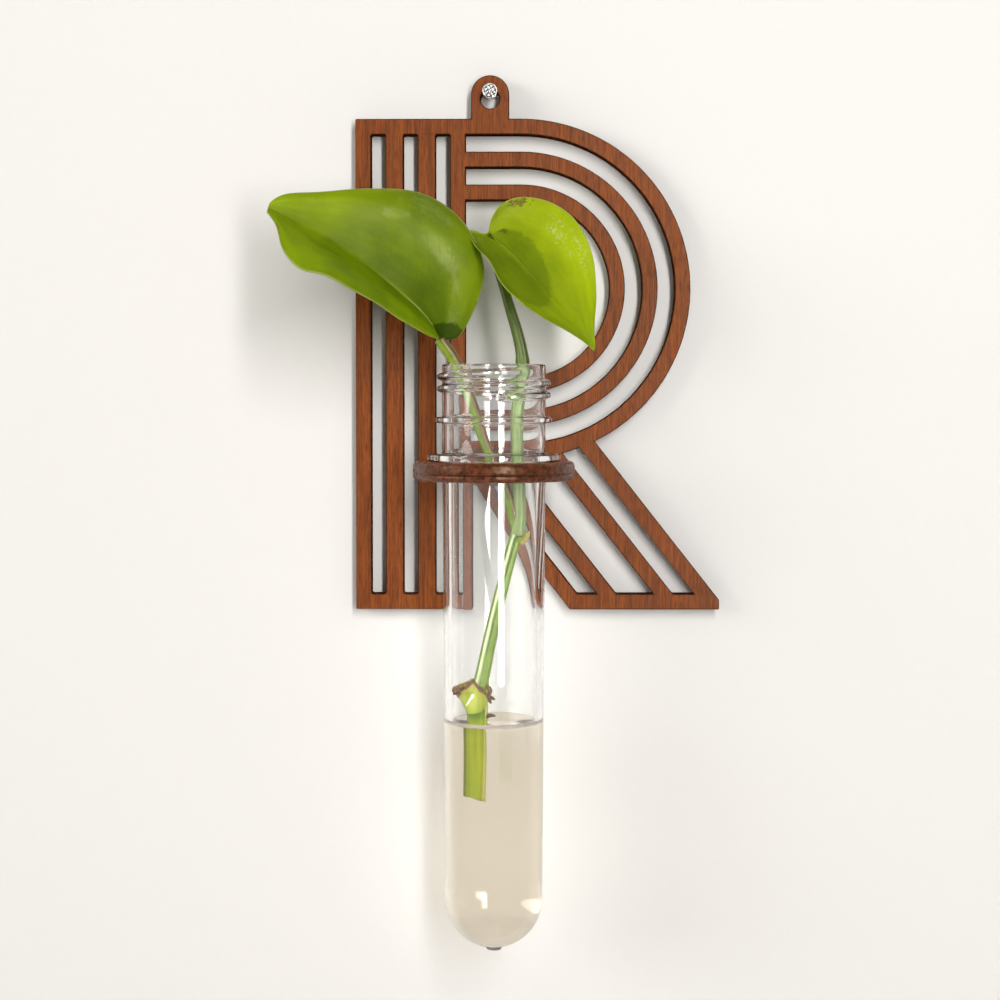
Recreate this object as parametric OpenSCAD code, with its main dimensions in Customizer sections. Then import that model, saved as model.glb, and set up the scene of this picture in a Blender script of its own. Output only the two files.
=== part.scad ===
// Wall-hung water planter: a fretted plywood letter carries a ring, and the ring carries
// a clear moulded tube of water in which a two-leaved vine cutting stands.
// Millimetres. The origin is on the nail's axis at the wall plane, +X to the viewer's
// right, +Y into the wall and +Z up.

/* [Plywood] */
// Thickness of the sheet that the letter and the ring are cut from
sheet = 4.6; // [3:0.1:6]
// Gap round a tenon in its slot
tenon_clearance = 0.05; // [0.02:0.01:0.2]

/* [Letter] */
// Height of the letter from its top edge to its foot
letter_h = 123; // [112:1:150]
// Width of the letter's upright
upright_w = 27.6; // [24:0.1:34]
// Width of each narrow bar of the letter
bar_w = 3.9; // [3:0.1:4.5]
// Width of each slit in the upright
slit_w = 3.6; // [2:0.1:4.5]
// Width of each curved slot in the bowl, and of the outer slot in the leg
slot_w = 4.3; // [3:0.1:5]
// Width of the broad slot in the middle of the leg
broad_slot_w = 7.3; // [4:0.1:9]
// Width of the inner slot of the leg
inner_slot_w = 3.8; // [3:0.1:5]
// Outer radius of the letter's bowl
bowl_r = 42.5; // [36:0.5:52]
// Straight run of the bowl before its curve begins
bowl_run = 13.8; // [9:0.1:20]
// Angle of the leg from the vertical
leg_angle = 38.1; // [30:0.1:42]
// Distance from the upright to the notch between bowl and leg
notch_reach = 32.4; // [26:0.1:38]
// Radius of the slits' corners
slit_corner_r = 0.5; // [0.2:0.1:1.2]
// Length of the upright flat that blunts the tip of the foot
foot_blunt = 2.4; // [1:0.1:5]

/* [Hanging tab] */
// Width of the tab above the letter
tab_w = 9.5; // [8:0.1:14]
// Radius of the hole that hangs on the nail
hang_hole_r = 2.36; // [1.8:0.01:3]
// Height of the nail's axis above the letter's top edge
nail_above_letter = 6.23; // [5:0.01:10]
// Distance from the letter's left edge to the nail's axis
nail_from_left = 33.74; // [28:0.01:40]

/* [Wall nail] */
// Radius of the nail's shank
nail_r = 1; // [0.8:0.05:1.5]
// Length of the nail that is driven into the wall
nail_in_wall = 16; // [10:1:30]
// Length of the nail that stands out of the wall, without its head
nail_out = 8.6; // [7:0.1:11]
// Diameter of the nail's head
nail_head_d = 3.7; // [3:0.1:4.4]
// Thickness of the nail's head
nail_head_t = 0.9; // [0.6:0.1:1.5]
// Length of the nail's point
nail_point = 3.4; // [2:0.1:5]
// Gap between the nail's shank and the top of the hanging hole
nail_clearance = 0.03; // [0.01:0.01:0.1]

/* [Tube ring] */
// Gap between the letter's face and the back of the ring
ring_gap = 1.6; // [0.5:0.1:10]
// Width of the ring round its bore
ring_rim = 6.6; // [4:0.1:10]
// Gap between the ring's bore and the tube's body
ring_clearance = 0.4; // [0.2:0.05:1]
// Width of the tenon that passes through the letter
tenon_w = 9.6; // [6:0.1:12]
// Width of the shoulder that seats on the letter's face
shoulder_w = 14.8; // [12:0.1:17]
// Wood left under the slot that takes the tenon
pad_edge = 2.15; // [1.5:0.05:4]
// Sideways distance from the nail's axis to the tube's axis
tube_x = 1.27; // [0:0.01:3]

/* [Water tube] */
// Outer diameter of the tube just under its flange
body_d = 24.8; // [20:0.1:30]
// Amount by which the tube narrows from its flange to its round end
body_taper = 1.3; // [0:0.1:3]
// Wall of the tube's body
body_wall = 2; // [1.2:0.1:3]
// Length of the tube below its flange, to the bottom of the round end
body_l = 117.4; // [90:0.1:160]
// Outer diameter of the neck between the bead and the mouth
neck_d = 24.9; // [22:0.1:31]
// Wall of the neck
neck_wall = 1.25; // [1:0.05:2]
// Height of the neck from the flange's underside to the mouth
neck_h = 23.2; // [18:0.1:30]
// Width of the flange's rest on the ring
flange_seat = 3.2; // [2:0.1:6]
// Thickness of the flange
flange_t = 1.9; // [1.2:0.1:3]
// Distance that the bead stands out from the neck
bead_out = 1.55; // [0.8:0.05:3]
// Thickness of the bead
bead_t = 1.5; // [1:0.1:2.5]
// Height of the bead's middle above the flange's underside
bead_h = 9.9; // [6:0.1:12]
// Bevel of the lip, the bead and the flange
bevel = 0.4; // [0.2:0.05:0.6]
// Diameter of the moulding nub under the tube
nub_d = 3.6; // [1:0.1:4]
// Length of the moulding nub
nub_l = 0.7; // [0.4:0.1:2]

/* [Water] */
// Depth of the water's surface below the lowest young root
water_below_roots = 4.5; // [2.5:0.1:20]
// Gap between the water and the tube's wall
water_gap = 0.05; // [0.02:0.01:0.1]
// Gap between the water and the stem that stands in it
stem_gap = 0.7; // [0.5:0.05:1]

/* [Vine cutting] */
// Clear height under the cutting's foot, above the lowest point inside the tube
foot_gap = 35.3; // [14:0.1:60]
// Gap that the stems and stalks keep from the neck's bore
stalk_gap = 0.8; // [0.5:0.1:2]
// Radius of the old stem that stands in the water
old_stem_r = 2.4; // [1.5:0.1:3]
// Radius of the young stem between the two joints of the vine
young_stem_r = 1.6; // [1.2:0.05:2.5]
// Radius of the stalk of the left leaf
left_stalk_r = 1.35; // [0.8:0.05:2]
// Radius of the stalk of the right leaf
right_stalk_r = 1.5; // [0.8:0.05:2]
// Size of the left leaf, about its length from stalk to tip
left_leaf_l = 54; // [35:1:60]
// Size of the right leaf, about its length from stalk to tip
right_leaf_l = 40; // [25:1:48]
// Thickness of a leaf blade along its midrib
leaf_t = 0.7; // [0.4:0.05:1]
// Thickness of a leaf blade at its margin
leaf_margin_t = 0.3; // [0.2:0.05:0.5]
// Slant of the cut at the foot of the old stem
old_stem_cut = 20; // [0:1:40]
// Length of each young root
root_l = 2.2; // [1:0.1:4]
// Radius of each young root where it leaves the stem
root_r = 0.55; // [0.3:0.05:0.8]

/* [Hidden] */

// One overrun serves every cut
cut = 0.5;
round_fn = 96;
arc_fn = 180;
small_fn = 32;

// Letter
letter_left = -nail_from_left;
letter_top = -nail_above_letter;
letter_foot = letter_top - letter_h;
upright_right = letter_left + upright_w;
bowl_x = upright_right + bowl_run;
bowl_z = letter_top - bowl_r;
bowl_bottom = bowl_z - bowl_r;
// Radii of the bowl's edges, from the outside in: bar, slot, bar, slot, bar
bowl_radii = [
    for (ring = [0 : 2], edge = [0, 1]) bowl_r - ring * (bar_w + slot_w) - edge * bar_w
];
counter_r = bowl_radii[5];
// Bars inside the upright share what the rims and the slits leave
slit_count = 3;
inner_bar_w = (upright_w - 2 * bar_w - slit_count * slit_w) / (slit_count - 1);
// Lengths across the leg become longer along a level line
leg_level = 1 / cos(leg_angle);
leg_slope = tan(leg_angle);
notch_x = upright_right + notch_reach;
notch_z = bowl_z - sqrt(bowl_r * bowl_r - (notch_x - bowl_x) * (notch_x - bowl_x));
// Edges of the leg's slots, measured across the leg from its outer edge
leg_cuts = [
    [bar_w, slot_w],
    [2 * bar_w + slot_w, broad_slot_w],
    [3 * bar_w + slot_w + broad_slot_w, inner_slot_w]
];
leg_w = 4 * bar_w + slot_w + broad_slot_w + inner_slot_w;

// Tab and hole
hole_z = -(hang_hole_r - nail_r - nail_clearance);
// The tab's round end is raised by half of the wood beside the hole, where it carries the load
tab_z = hole_z + (tab_w / 2 - hang_hole_r) / 2;

// Ring and tube
ring_bore_r = body_d / 2 + ring_clearance;
ring_r = ring_bore_r + ring_rim;
tube_y = -sheet - ring_gap - ring_r;
ring_top = bowl_bottom;
pad_left = min(upright_right - cut, tube_x - shoulder_w / 2);
pad_right = tube_x + shoulder_w / 2;
pad_bottom = ring_top - sheet - pad_edge;
mouth_z = ring_top + neck_h;
neck_r = neck_d / 2;
bead_r = neck_r + bead_out;
flange_r = max(ring_bore_r, neck_r) + flange_seat;
neck_bore_r = neck_r - neck_wall;
body_bore_r = body_d / 2 - body_wall;
end_r = (body_d - body_taper) / 2;
end_z = end_r - body_l;
step_h = abs(neck_bore_r - body_bore_r);
tube_floor = body_wall - body_l;

// Cutting. Places are [across, toward the viewer as minus, up] from the mouth's middle:
// the first two as shares of the narrower bore's radius, the third as a share of the depth
// that the cutting reaches below the mouth.
narrow_bore_r = min(body_bore_r, neck_bore_r - stalk_gap);
cutting_depth = neck_h - tube_floor - foot_gap;
upper_joint_shares = [0.54, -0.28, -0.396];
lower_joint_shares = [-0.3, -0.39, -0.742];
young_stem_shares = [[0.42, -0.28, -0.427], [0.03, -0.33, -0.584], [-0.24, -0.37, -0.712]];
old_stem_shares = [[-0.36, -0.41, -0.793], [-0.36, -0.42, -0.894], [-0.38, -0.42, -1]];
left_stalk_shares = [
    [0.43, -0.27, -0.346], [0.24, -0.26, -0.281], [-0.13, -0.21, -0.203],
    [-0.46, -0.15, -0.102], [-0.86, -0.1, 0], [-1.24, -0.18, 0.059]
];
right_stalk_shares = [
    [0.57, -0.27, -0.346], [0.55, -0.25, -0.244], [0.53, -0.23, -0.122], [0.66, -0.18, 0.012],
    [0.33, -0.12, 0.146], [0.11, -0.05, 0.213], [-0.13, 0, 0.299]
];

// Radii along each stem, as shares of its named radius
old_stem_r_shares = [1.02, 1, 0.96, 0.94];
young_stem_r_shares = [1.25, 0.85, 0.95, 1.05, 1.05, 1.1];
left_stalk_r_shares = [1, 0.95, 0.92, 0.9, 0.95, 1.1, 1.05];
right_stalk_r_shares = [1.15, 1.05, 1, 1, 1, 0.8, 0.65, 0.6];

// The knuckle of the lower joint, as shares of the old stem's radius: its radius and half
// of its height
knuckle_shares = [1.15, 1.6];
// The cup left by the old leaf's sheath, in the same shares: its foot from the knuckle's
// middle, its radius at the foot and at the rim, its height, its wall and its solid floor
cup_foot_shares = [-0.3, 0.15, -2.55];
cup_r_shares = [1.1, 1.58];
cup_h_share = 3.5;
cup_wall_share = 0.24;
cup_floor_share = 1.1;
// Lean of the cup to the right, in degrees
cup_lean = -6;
// The rim's roof-shaped cut: its ridge above the cup's foot, and how steeply it falls away
// to the left and to the right
cup_ridge_share = 3.4;
cup_falls = [37, 46];
// The dry stub beside the cup is [lean in degrees, length], with its radius at both ends
stub_shares = [112, 1.15];
stub_r_shares = [0.5, 0.4];
// Roots are [share of the way from the lower joint to the old stem's top, angle in degrees
// by which it points from the right toward the viewer]
root_shares = [[0.3, 40], [0.65, -20], [1.42, 15]];

// Leaf outlines: each edge and the midrib run from the stalk to the tip as a cubic curve
// with two inner control points, all as shares of the leaf's length from the stalk.
left_leaf_shares = [
    [[-0.07, -0.06, 0.13], [-0.39, -0.23, 0.38]],
    [[-0.19, -0.31, 0.12], [-0.71, -0.68, 0.28]],
    [[0.46, -0.1, 0.03], [0.06, 0.01, 1.01]],
    [-0.75, -0.29, 0.56]
];
right_leaf_shares = [
    [[0.19, -0.04, -0.16], [0.45, -0.14, -0.42]],
    [[-0.24, -0.01, 0], [0.18, -0.71, -0.51]],
    [[-0.06, 0.06, 0.46], [0.85, 0.01, 0.34]],
    [0.63, -0.26, -0.7]
];
leaf_rows = 22;
leaf_columns = 10;
leaf_start_share = 0.03;
leaf_end_share = 0.97;
camber_share = 0.1;
ripple_share = 0.012;
ripples = 2.5;
stem_sides = 12;
stem_rings = 16;
// Step between the two places on a curve that give its direction
curve_step = 0.01;

// Colours
ply_color = [0.55, 0.27, 0.13];
steel_color = [0.75, 0.75, 0.74];
clear_color = [0.9, 0.95, 0.95, 0.35];
water_color = [0.85, 0.84, 0.74, 0.5];
stem_color = [0.5, 0.62, 0.2];
leaf_color = [0.42, 0.6, 0.12];
young_leaf_color = [0.56, 0.74, 0.13];
root_color = [0.42, 0.3, 0.16];

// Vector helpers
function unit(v) = v / norm(v);
function mix(a, b, share) = a + (b - a) * share;
function times(a, b) = [for (i = [0 : 2]) a[i] * b[i]];

// A cubic curve from a to d, pulled by b and c
function cubic(a, b, c, d, t) =
    pow(1 - t, 3) * a + 3 * pow(1 - t, 2) * t * b + 3 * (1 - t) * t * t * c + pow(t, 3) * d;

// A smooth curve through all its points, t from 0 to 1
function through(points, t) =
    let (
        spans = len(points) - 1,
        span = min(floor(t * spans), spans - 1),
        u = t * spans - span,
        b = points[span],
        c = points[span + 1],
        a = span > 0 ? points[span - 1] : 2 * b - c,
        d = span + 2 <= spans ? points[span + 2] : 2 * c - b
    )
    0.5 * (2 * b + (c - a) * u + (2 * a - 5 * b + 4 * c - d) * u * u
        + (3 * b - a - 3 * c + d) * u * u * u);

// A closed skin over rings of points. Each ring has an even count, and its second half
// runs back beside its first, so the ends close with a strip.
module skin(rings) {
    n = len(rings[0]);
    last = (len(rings) - 1) * n;
    sides = [
        for (r = [0 : len(rings) - 2], i = [0 : n - 1])
        let (a = r * n + i, b = r * n + (i + 1) % n)
        each [[a, b, b + n], [a, b + n, a + n]]
    ];
    start = [
        for (i = [0 : n / 2 - 2]) each [[i, n - 1 - i, i + 1], [i + 1, n - 1 - i, n - 2 - i]]
    ];
    finish = [for (f = start) [f[0] + last, f[2] + last, f[1] + last]];
    polyhedron([for (ring = rings) each ring], concat(sides, start, finish));
}

// A round stem through points, with its radius given along it by a list
module stem(points, radii) {
    skin([
        for (k = [0 : stem_rings - 1])
        let (
            t = k / (stem_rings - 1),
            ahead = through(points, min(t + curve_step, 1)),
            behind = through(points, max(t - curve_step, 0)),
            along = unit(ahead - behind),
            side = unit(cross(along, [0, 1, 0])),
            front = cross(side, along),
            place = t * (len(radii) - 1),
            at = min(floor(place), len(radii) - 2),
            r = mix(radii[at], radii[at + 1], place - at)
        )
        [
            for (i = [0 : stem_sides - 1])
            let (angle = 360 * (i + 0.5) / stem_sides)
            through(points, t) + r * (cos(angle) * side + sin(angle) * front)
        ]
    ]);
}

// Places inside the cutting, from shares
function cutting_place(shares) = times(shares, [narrow_bore_r, narrow_bore_r, cutting_depth]);
function cutting_places(list) = [for (shares = list) cutting_place(shares)];

// A point of a leaf: t from the stalk to the tip, s from -1 at the near edge, through 0 at
// the midrib, to 1 at the far edge
function leaf_point(shape, t, s) =
    let (
        edge = s < 0 ? shape[1] : shape[2],
        rib = cubic([0, 0, 0], shape[0][0], shape[0][1], shape[3], t),
        rim = cubic([0, 0, 0], edge[0], edge[1], shape[3], t),
        u = abs(s)
    )
    mix(rib, rim, u);
function leaf_normal(shape, t, s) =
    let (
        along = leaf_point(shape, t + curve_step, s) - leaf_point(shape, t - curve_step, s),
        across = leaf_point(shape, t, s + curve_step) - leaf_point(shape, t, s - curve_step)
    )
    unit(cross(across, along));
function leaf_surface(shape, t, s) =
    let (u = abs(s), width = norm(leaf_point(shape, t, sign(s)) - leaf_point(shape, t, 0)))
    leaf_point(shape, t, s) - leaf_normal(shape, t, s)
        * (camber_share * width * 4 * u * (1 - u) - ripple_share * u * u * sin(360 * ripples * t));

// A leaf blade: a folded, cambered sheet, thickest along the midrib
module leaf(shape, length) {
    skin([
        for (k = [0 : leaf_rows - 1])
        let (t = mix(leaf_start_share, leaf_end_share, k / (leaf_rows - 1)))
        [
            for (face = [1, -1], j = [0 : leaf_columns])
            let (
                s = face * (1 - 2 * j / leaf_columns),
                thick = mix(leaf_t, leaf_margin_t, abs(s)) / 2
            )
            leaf_surface(shape, t, s) * length + leaf_normal(shape, t, s) * face * thick
        ]
    ]);
}

// Sheet shapes are drawn in X and Z. A board stands with its back on the wall plane, and
// a cut-out runs past both of its faces.
module board() {
    rotate([90, 0, 0]) linear_extrude(sheet) children();
}

module cut_out() {
    translate([0, cut, 0]) rotate([90, 0, 0]) linear_extrude(sheet + 2 * cut) children();
}

module rounded_slot(x, z, w, h, r) {
    translate([x + r, z]) square([w - 2 * r, h]);
    translate([x, z + r]) square([w, h - 2 * r]);
    for (cx = [x + r, x + w - r], cz = [z + r, z + h - r]) {
        translate([cx, cz]) circle(r, $fn = round_fn);
    }
}

// The bowl's outline at radius r: a straight run, then a half circle
module bowl_outline(r) {
    translate([upright_right, bowl_z - r]) square([bowl_run, 2 * r]);
    intersection() {
        translate([bowl_x, bowl_z]) circle(r, $fn = arc_fn);
        translate([bowl_x, bowl_z - r]) square([r, 2 * r]);
    }
}

// A band of the leg between two distances from its outer edge, down to a level line
module leg_band(from_edge, width, bottom) {
    top_x = notch_x + (notch_z - bowl_z) * leg_slope;
    bottom_x = notch_x + (notch_z - bottom) * leg_slope;
    polygon([
        [top_x - from_edge * leg_level, bowl_z],
        [bottom_x - from_edge * leg_level, bottom],
        [bottom_x - (from_edge + width) * leg_level, bottom],
        [top_x - (from_edge + width) * leg_level, bowl_z]
    ]);
}

module leg_outline() {
    tip_x = notch_x + (notch_z - letter_foot - foot_blunt) * leg_slope;
    intersection() {
        leg_band(0, leg_w, letter_foot);
        translate([letter_left, letter_foot]) square([tip_x - letter_left, letter_h]);
    }
}

module upright_slits() {
    for (i = [0 : slit_count - 1]) {
        rounded_slot(
            letter_left + bar_w + i * (slit_w + inner_bar_w), letter_foot + bar_w,
            slit_w, letter_h - 2 * bar_w, slit_corner_r
        );
    }
}

module bowl_slots() {
    for (ring = [0, 1]) {
        difference() {
            bowl_outline(bowl_radii[2 * ring + 1]);
            bowl_outline(bowl_radii[2 * ring + 2]);
        }
    }
    bowl_outline(counter_r);
}

module leg_slots() {
    difference() {
        for (slot = leg_cuts) {
            leg_band(slot[0], slot[1], letter_foot + bar_w);
        }
        bowl_outline(bowl_r);
        translate([letter_left, letter_foot]) square([upright_w, letter_h]);
    }
}

module tab_outline() {
    translate([-tab_w / 2, letter_top - cut]) square([tab_w, tab_z - letter_top + cut]);
    translate([0, tab_z]) circle(tab_w / 2, $fn = arc_fn);
}

module tenon_pad() {
    translate([pad_left, pad_bottom])
        square([pad_right - pad_left, bowl_bottom - pad_bottom + cut]);
}

module tenon_slot() {
    translate([tube_x - tenon_w / 2 - tenon_clearance, ring_top - sheet - tenon_clearance])
        square([tenon_w + 2 * tenon_clearance, sheet + 2 * tenon_clearance]);
}

module letter_plate() {
    color(ply_color) difference() {
        union() {
            difference() {
                union() {
                    board() translate([letter_left, letter_foot]) square([upright_w, letter_h]);
                    board() bowl_outline(bowl_r);
                    board() leg_outline();
                }
                cut_out() upright_slits();
                cut_out() bowl_slots();
                cut_out() leg_slots();
            }
            board() tab_outline();
            board() tenon_pad();
        }
        cut_out() translate([0, hole_z]) circle(hang_hole_r, $fn = arc_fn);
        cut_out() tenon_slot();
    }
}

// The nail: a point, a shank and a flat head
module wall_nail() {
    color(steel_color) rotate([90, 0, 0]) {
        translate([0, 0, -nail_in_wall]) cylinder(nail_point, 0, nail_r, $fn = round_fn);
        translate([0, 0, nail_point - nail_in_wall])
            cylinder(nail_in_wall - nail_point + nail_out, nail_r, nail_r, $fn = round_fn);
        translate([0, 0, nail_out])
            cylinder(nail_head_t, nail_head_d / 2, nail_head_d / 2, $fn = round_fn);
    }
}

// The ring: a washer with a shouldered tongue whose tenon ends flush with the letter's back
module tube_ring() {
    color(ply_color) translate([0, 0, ring_top - sheet]) linear_extrude(sheet) difference() {
        union() {
            translate([tube_x, tube_y]) circle(ring_r, $fn = arc_fn);
            translate([tube_x - shoulder_w / 2, tube_y]) square([shoulder_w, -sheet - tube_y]);
            translate([tube_x - tenon_w / 2, -sheet - cut]) square([tenon_w, sheet + cut]);
        }
        translate([tube_x, tube_y]) circle(ring_bore_r, $fn = arc_fn);
    }
}

// Half sections of the tube, from its axis outwards, with zero at the flange's underside
module end_cap(r, z) {
    translate([0, z]) intersection() {
        circle(r, $fn = arc_fn);
        translate([0, -r]) square([r, r]);
    }
}

module tube_section() {
    bead_low = bead_h - bead_t / 2;
    bead_top = bead_h + bead_t / 2;
    polygon([
        [0, end_z], [end_r, end_z], [body_d / 2, 0],
        [flange_r - bevel, 0], [flange_r, bevel], [flange_r, flange_t - bevel],
        [flange_r - bevel, flange_t], [neck_r, flange_t + bevel],
        [neck_r, bead_low - bevel], [bead_r - bevel, bead_low], [bead_r, bead_h],
        [bead_r - bevel, bead_top], [neck_r, bead_top + bevel],
        [neck_r, neck_h - bevel], [neck_r - bevel, neck_h], [0, neck_h]
    ]);
    end_cap(end_r, end_z);
    translate([0, -body_l - nub_l]) square([nub_d / 2, nub_l + body_wall / 2]);
}

// The hollow, drawn in by a gap when it stands for what fills it
module bore_section(gap) {
    polygon([
        [0, end_z], [end_r - body_wall - gap, end_z], [body_bore_r - gap, -step_h],
        [neck_bore_r - gap, 0], [neck_bore_r - gap, neck_h - bevel],
        [neck_bore_r - gap + bevel, neck_h], [neck_bore_r - gap + bevel, neck_h + cut],
        [0, neck_h + cut]
    ]);
    end_cap(end_r - body_wall - gap, end_z);
}

module at_tube() {
    translate([tube_x, tube_y, ring_top]) children();
}

module water_tube() {
    color(clear_color) at_tube() rotate_extrude($fn = arc_fn) difference() {
        tube_section();
        bore_section(0);
    }
}

// The water, with the well that the old stem displaces
module water() {
    stem_top = cutting_place(old_stem_shares[1]);
    stem_foot = cutting_place(old_stem_shares[2]);
    well = (stem_top + stem_foot) / 2;
    well_r = old_stem_r + stem_gap;
    surface_z = neck_h + cutting_place(old_stem_shares[0])[2] - water_below_roots;
    color(water_color) difference() {
        at_tube() rotate_extrude($fn = arc_fn) intersection() {
            bore_section(water_gap);
            translate([0, tube_floor]) square([body_d, surface_z - tube_floor]);
        }
        at_mouth() translate([well[0], well[1], stem_foot[2] - old_stem_r])
            cylinder(cutting_depth, well_r, well_r, $fn = round_fn);
    }
}

module at_mouth() {
    translate([tube_x, tube_y, mouth_z]) children();
}

// The old stem, cut off aslant at its foot
module old_stem() {
    foot = cutting_place(old_stem_shares[2]);
    color(stem_color) at_mouth() difference() {
        stem(
            cutting_places(concat([lower_joint_shares], old_stem_shares)),
            old_stem_r * old_stem_r_shares
        );
        translate(foot) rotate([0, old_stem_cut, 0]) translate([0, 0, -old_stem_r])
            cube([4 * old_stem_r, 4 * old_stem_r, 2 * old_stem_r], center = true);
    }
}

// The lower joint: a swollen knuckle with the stubs of an old leaf's sheath
module stem_joint() {
    knuckle_r = old_stem_r * knuckle_shares[0];
    knuckle_h = old_stem_r * knuckle_shares[1];
    swell = knuckle_r - old_stem_r;
    // The circle through the knuckle's middle and both of its ends
    arc_r = (knuckle_h * knuckle_h + swell * swell) / (2 * swell);
    color(stem_color) at_mouth() translate(cutting_place(lower_joint_shares)) {
        rotate_extrude($fn = round_fn) intersection() {
            translate([knuckle_r - arc_r, 0]) circle(arc_r, $fn = arc_fn);
            translate([0, -knuckle_h]) square([knuckle_r, 2 * knuckle_h]);
        }
        rotate([0, stub_shares[0], 0]) cylinder(
            old_stem_r * stub_shares[1], old_stem_r * stub_r_shares[0],
            old_stem_r * stub_r_shares[1], $fn = small_fn
        );
        sheath_cup();
    }
}

// The cup that the old leaf's sheath left round the joint, open at the top
module sheath_cup() {
    h = old_stem_r * cup_h_share;
    wall = old_stem_r * cup_wall_share;
    cup_floor = old_stem_r * cup_floor_share;
    foot_r = old_stem_r * cup_r_shares[0];
    rim_r = old_stem_r * cup_r_shares[1];
    ridge = old_stem_r * cup_ridge_share;
    floor_r = mix(foot_r, rim_r, cup_floor / h) - wall;
    translate(old_stem_r * cup_foot_shares) rotate([0, cup_lean, 0]) intersection() {
        difference() {
            cylinder(h, foot_r, rim_r, $fn = round_fn);
            translate([0, 0, cup_floor])
                cylinder(h - cup_floor, floor_r, rim_r - wall, $fn = round_fn);
        }
        translate([0, h, 0]) rotate([90, 0, 0]) linear_extrude(2 * h) polygon([
            [-h, 0], [-h, ridge - h * tan(cup_falls[0])], [0, ridge],
            [h, ridge - h * tan(cup_falls[1])], [h, 0]
        ]);
    }
}

module young_stem() {
    color(stem_color) at_mouth() stem(
        cutting_places(concat([upper_joint_shares], young_stem_shares, [lower_joint_shares])),
        young_stem_r * young_stem_r_shares
    );
}

module left_stalk() {
    color(stem_color) at_mouth() stem(
        cutting_places(concat([upper_joint_shares], left_stalk_shares)),
        left_stalk_r * left_stalk_r_shares
    );
}

module right_stalk() {
    color(stem_color) at_mouth() stem(
        cutting_places(concat([upper_joint_shares], right_stalk_shares)),
        right_stalk_r * right_stalk_r_shares
    );
}

module left_leaf() {
    color(leaf_color) at_mouth() translate(cutting_place(left_stalk_shares[5]))
        leaf(left_leaf_shares, left_leaf_l);
}

module right_leaf() {
    color(young_leaf_color) at_mouth() translate(cutting_place(right_stalk_shares[6]))
        leaf(right_leaf_shares, right_leaf_l);
}

// Young roots: short nubs on the right of the lower joint and the old stem
module young_roots() {
    top = cutting_place(lower_joint_shares);
    low = cutting_place(old_stem_shares[0]);
    color(root_color) at_mouth() for (root = root_shares) {
        translate(mix(top, low, root[0])) rotate([root[1], 90, 0])
            cylinder(old_stem_r + root_l, root_r, root_r / 2, $fn = small_fn);
    }
}

wall_nail();
letter_plate();
tube_ring();
water_tube();
water();
old_stem();
stem_joint();
young_stem();
left_stalk();
right_stalk();
left_leaf();
right_leaf();
young_roots();
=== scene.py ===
import math

import bmesh
import bpy
from bpy.props import FloatProperty, FloatVectorProperty, IntProperty, PointerProperty
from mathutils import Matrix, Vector


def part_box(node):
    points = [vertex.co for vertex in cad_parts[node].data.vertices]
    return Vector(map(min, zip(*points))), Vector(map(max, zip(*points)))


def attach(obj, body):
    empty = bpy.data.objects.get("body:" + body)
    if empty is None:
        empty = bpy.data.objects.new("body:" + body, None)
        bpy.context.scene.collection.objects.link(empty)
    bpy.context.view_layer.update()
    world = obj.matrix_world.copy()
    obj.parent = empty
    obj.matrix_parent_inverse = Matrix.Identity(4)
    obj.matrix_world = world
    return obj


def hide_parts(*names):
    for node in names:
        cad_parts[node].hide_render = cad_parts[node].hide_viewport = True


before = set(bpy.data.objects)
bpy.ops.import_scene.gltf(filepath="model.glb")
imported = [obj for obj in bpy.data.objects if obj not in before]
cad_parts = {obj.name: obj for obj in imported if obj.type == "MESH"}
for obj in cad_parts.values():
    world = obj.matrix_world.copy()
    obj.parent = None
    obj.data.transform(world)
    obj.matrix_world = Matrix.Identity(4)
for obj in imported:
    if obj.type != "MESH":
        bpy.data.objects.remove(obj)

bl_info = {
    "name": "Wall Planter Finish",
    "version": (1, 0, 0),
    "blender": (4, 5, 0),
    "location": "3D View > Sidebar > Planter",
    "description": "Builds the visible pieces of a wall-hung water planter round its packed model",
    "category": "Object",
}

# Shapes are worked out in millimetres and turned into metres when a mesh is made.
MM = 0.001


def millimetres(node):
    """Lowest and highest corner of a packed node, in millimetres."""
    low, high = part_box(node)
    return low / MM, high / MM


TUBE_LOW, TUBE_HIGH = millimetres("water_tube")
RING_LOW, RING_HIGH = millimetres("tube_ring")
NAIL_LOW, NAIL_HIGH = millimetres("wall_nail")
TUBE_X = (TUBE_LOW.x + TUBE_HIGH.x) / 2
TUBE_Y = (TUBE_LOW.y + TUBE_HIGH.y) / 2
MOUTH_Z = TUBE_HIGH.z
REST_Z = RING_HIGH.z
WATER_Z = millimetres("water")[1].z
SHEET = -millimetres("letter_plate")[0].y

# Where the two glue lines lie between the plies, from the sheet's back or underside
GLUE_LOW, GLUE_HIGH = 1.7, SHEET - 0.9

# The ring's bore, and half the widths of its tongue and of the tenon that enters the letter
RING_BORE, TONGUE, TENON = 12.8, 7.4, 4.8

# Nail: radius of its shank, height of its head, length of its point and of its ribbed part
SHANK_RADIUS, HEAD_HEIGHT, POINT_LENGTH, RIBBED_LENGTH = 1.0, 0.9, 3.4, 5.0

# Half section of the tube: radii, and heights above the flange's underside
NUB_RADIUS = 1.8
NUB_LENGTH = 0.7
BODY_RADIUS = 12.4
END_RADIUS = 11.75
WALL = 2.0
NECK_RADIUS = 12.45
NECK_BORE = 11.2
BEAD_RADIUS = 14.0
BEAD_LOW, BEAD_HIGH = 9.15, 10.65
FLANGE_RADIUS = 16.0
FLANGE_THICKNESS = 1.9
END_Z = TUBE_LOW.z + NUB_LENGTH + END_RADIUS
END_BORE = END_RADIUS - WALL

# Heights of the threaded part, and of the thread's middle where its angle is zero
THREAD_LOW, THREAD_HIGH, THREAD_Z = MOUTH_Z - 11.5, MOUTH_Z - 0.8, MOUTH_Z - 7.3

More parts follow.
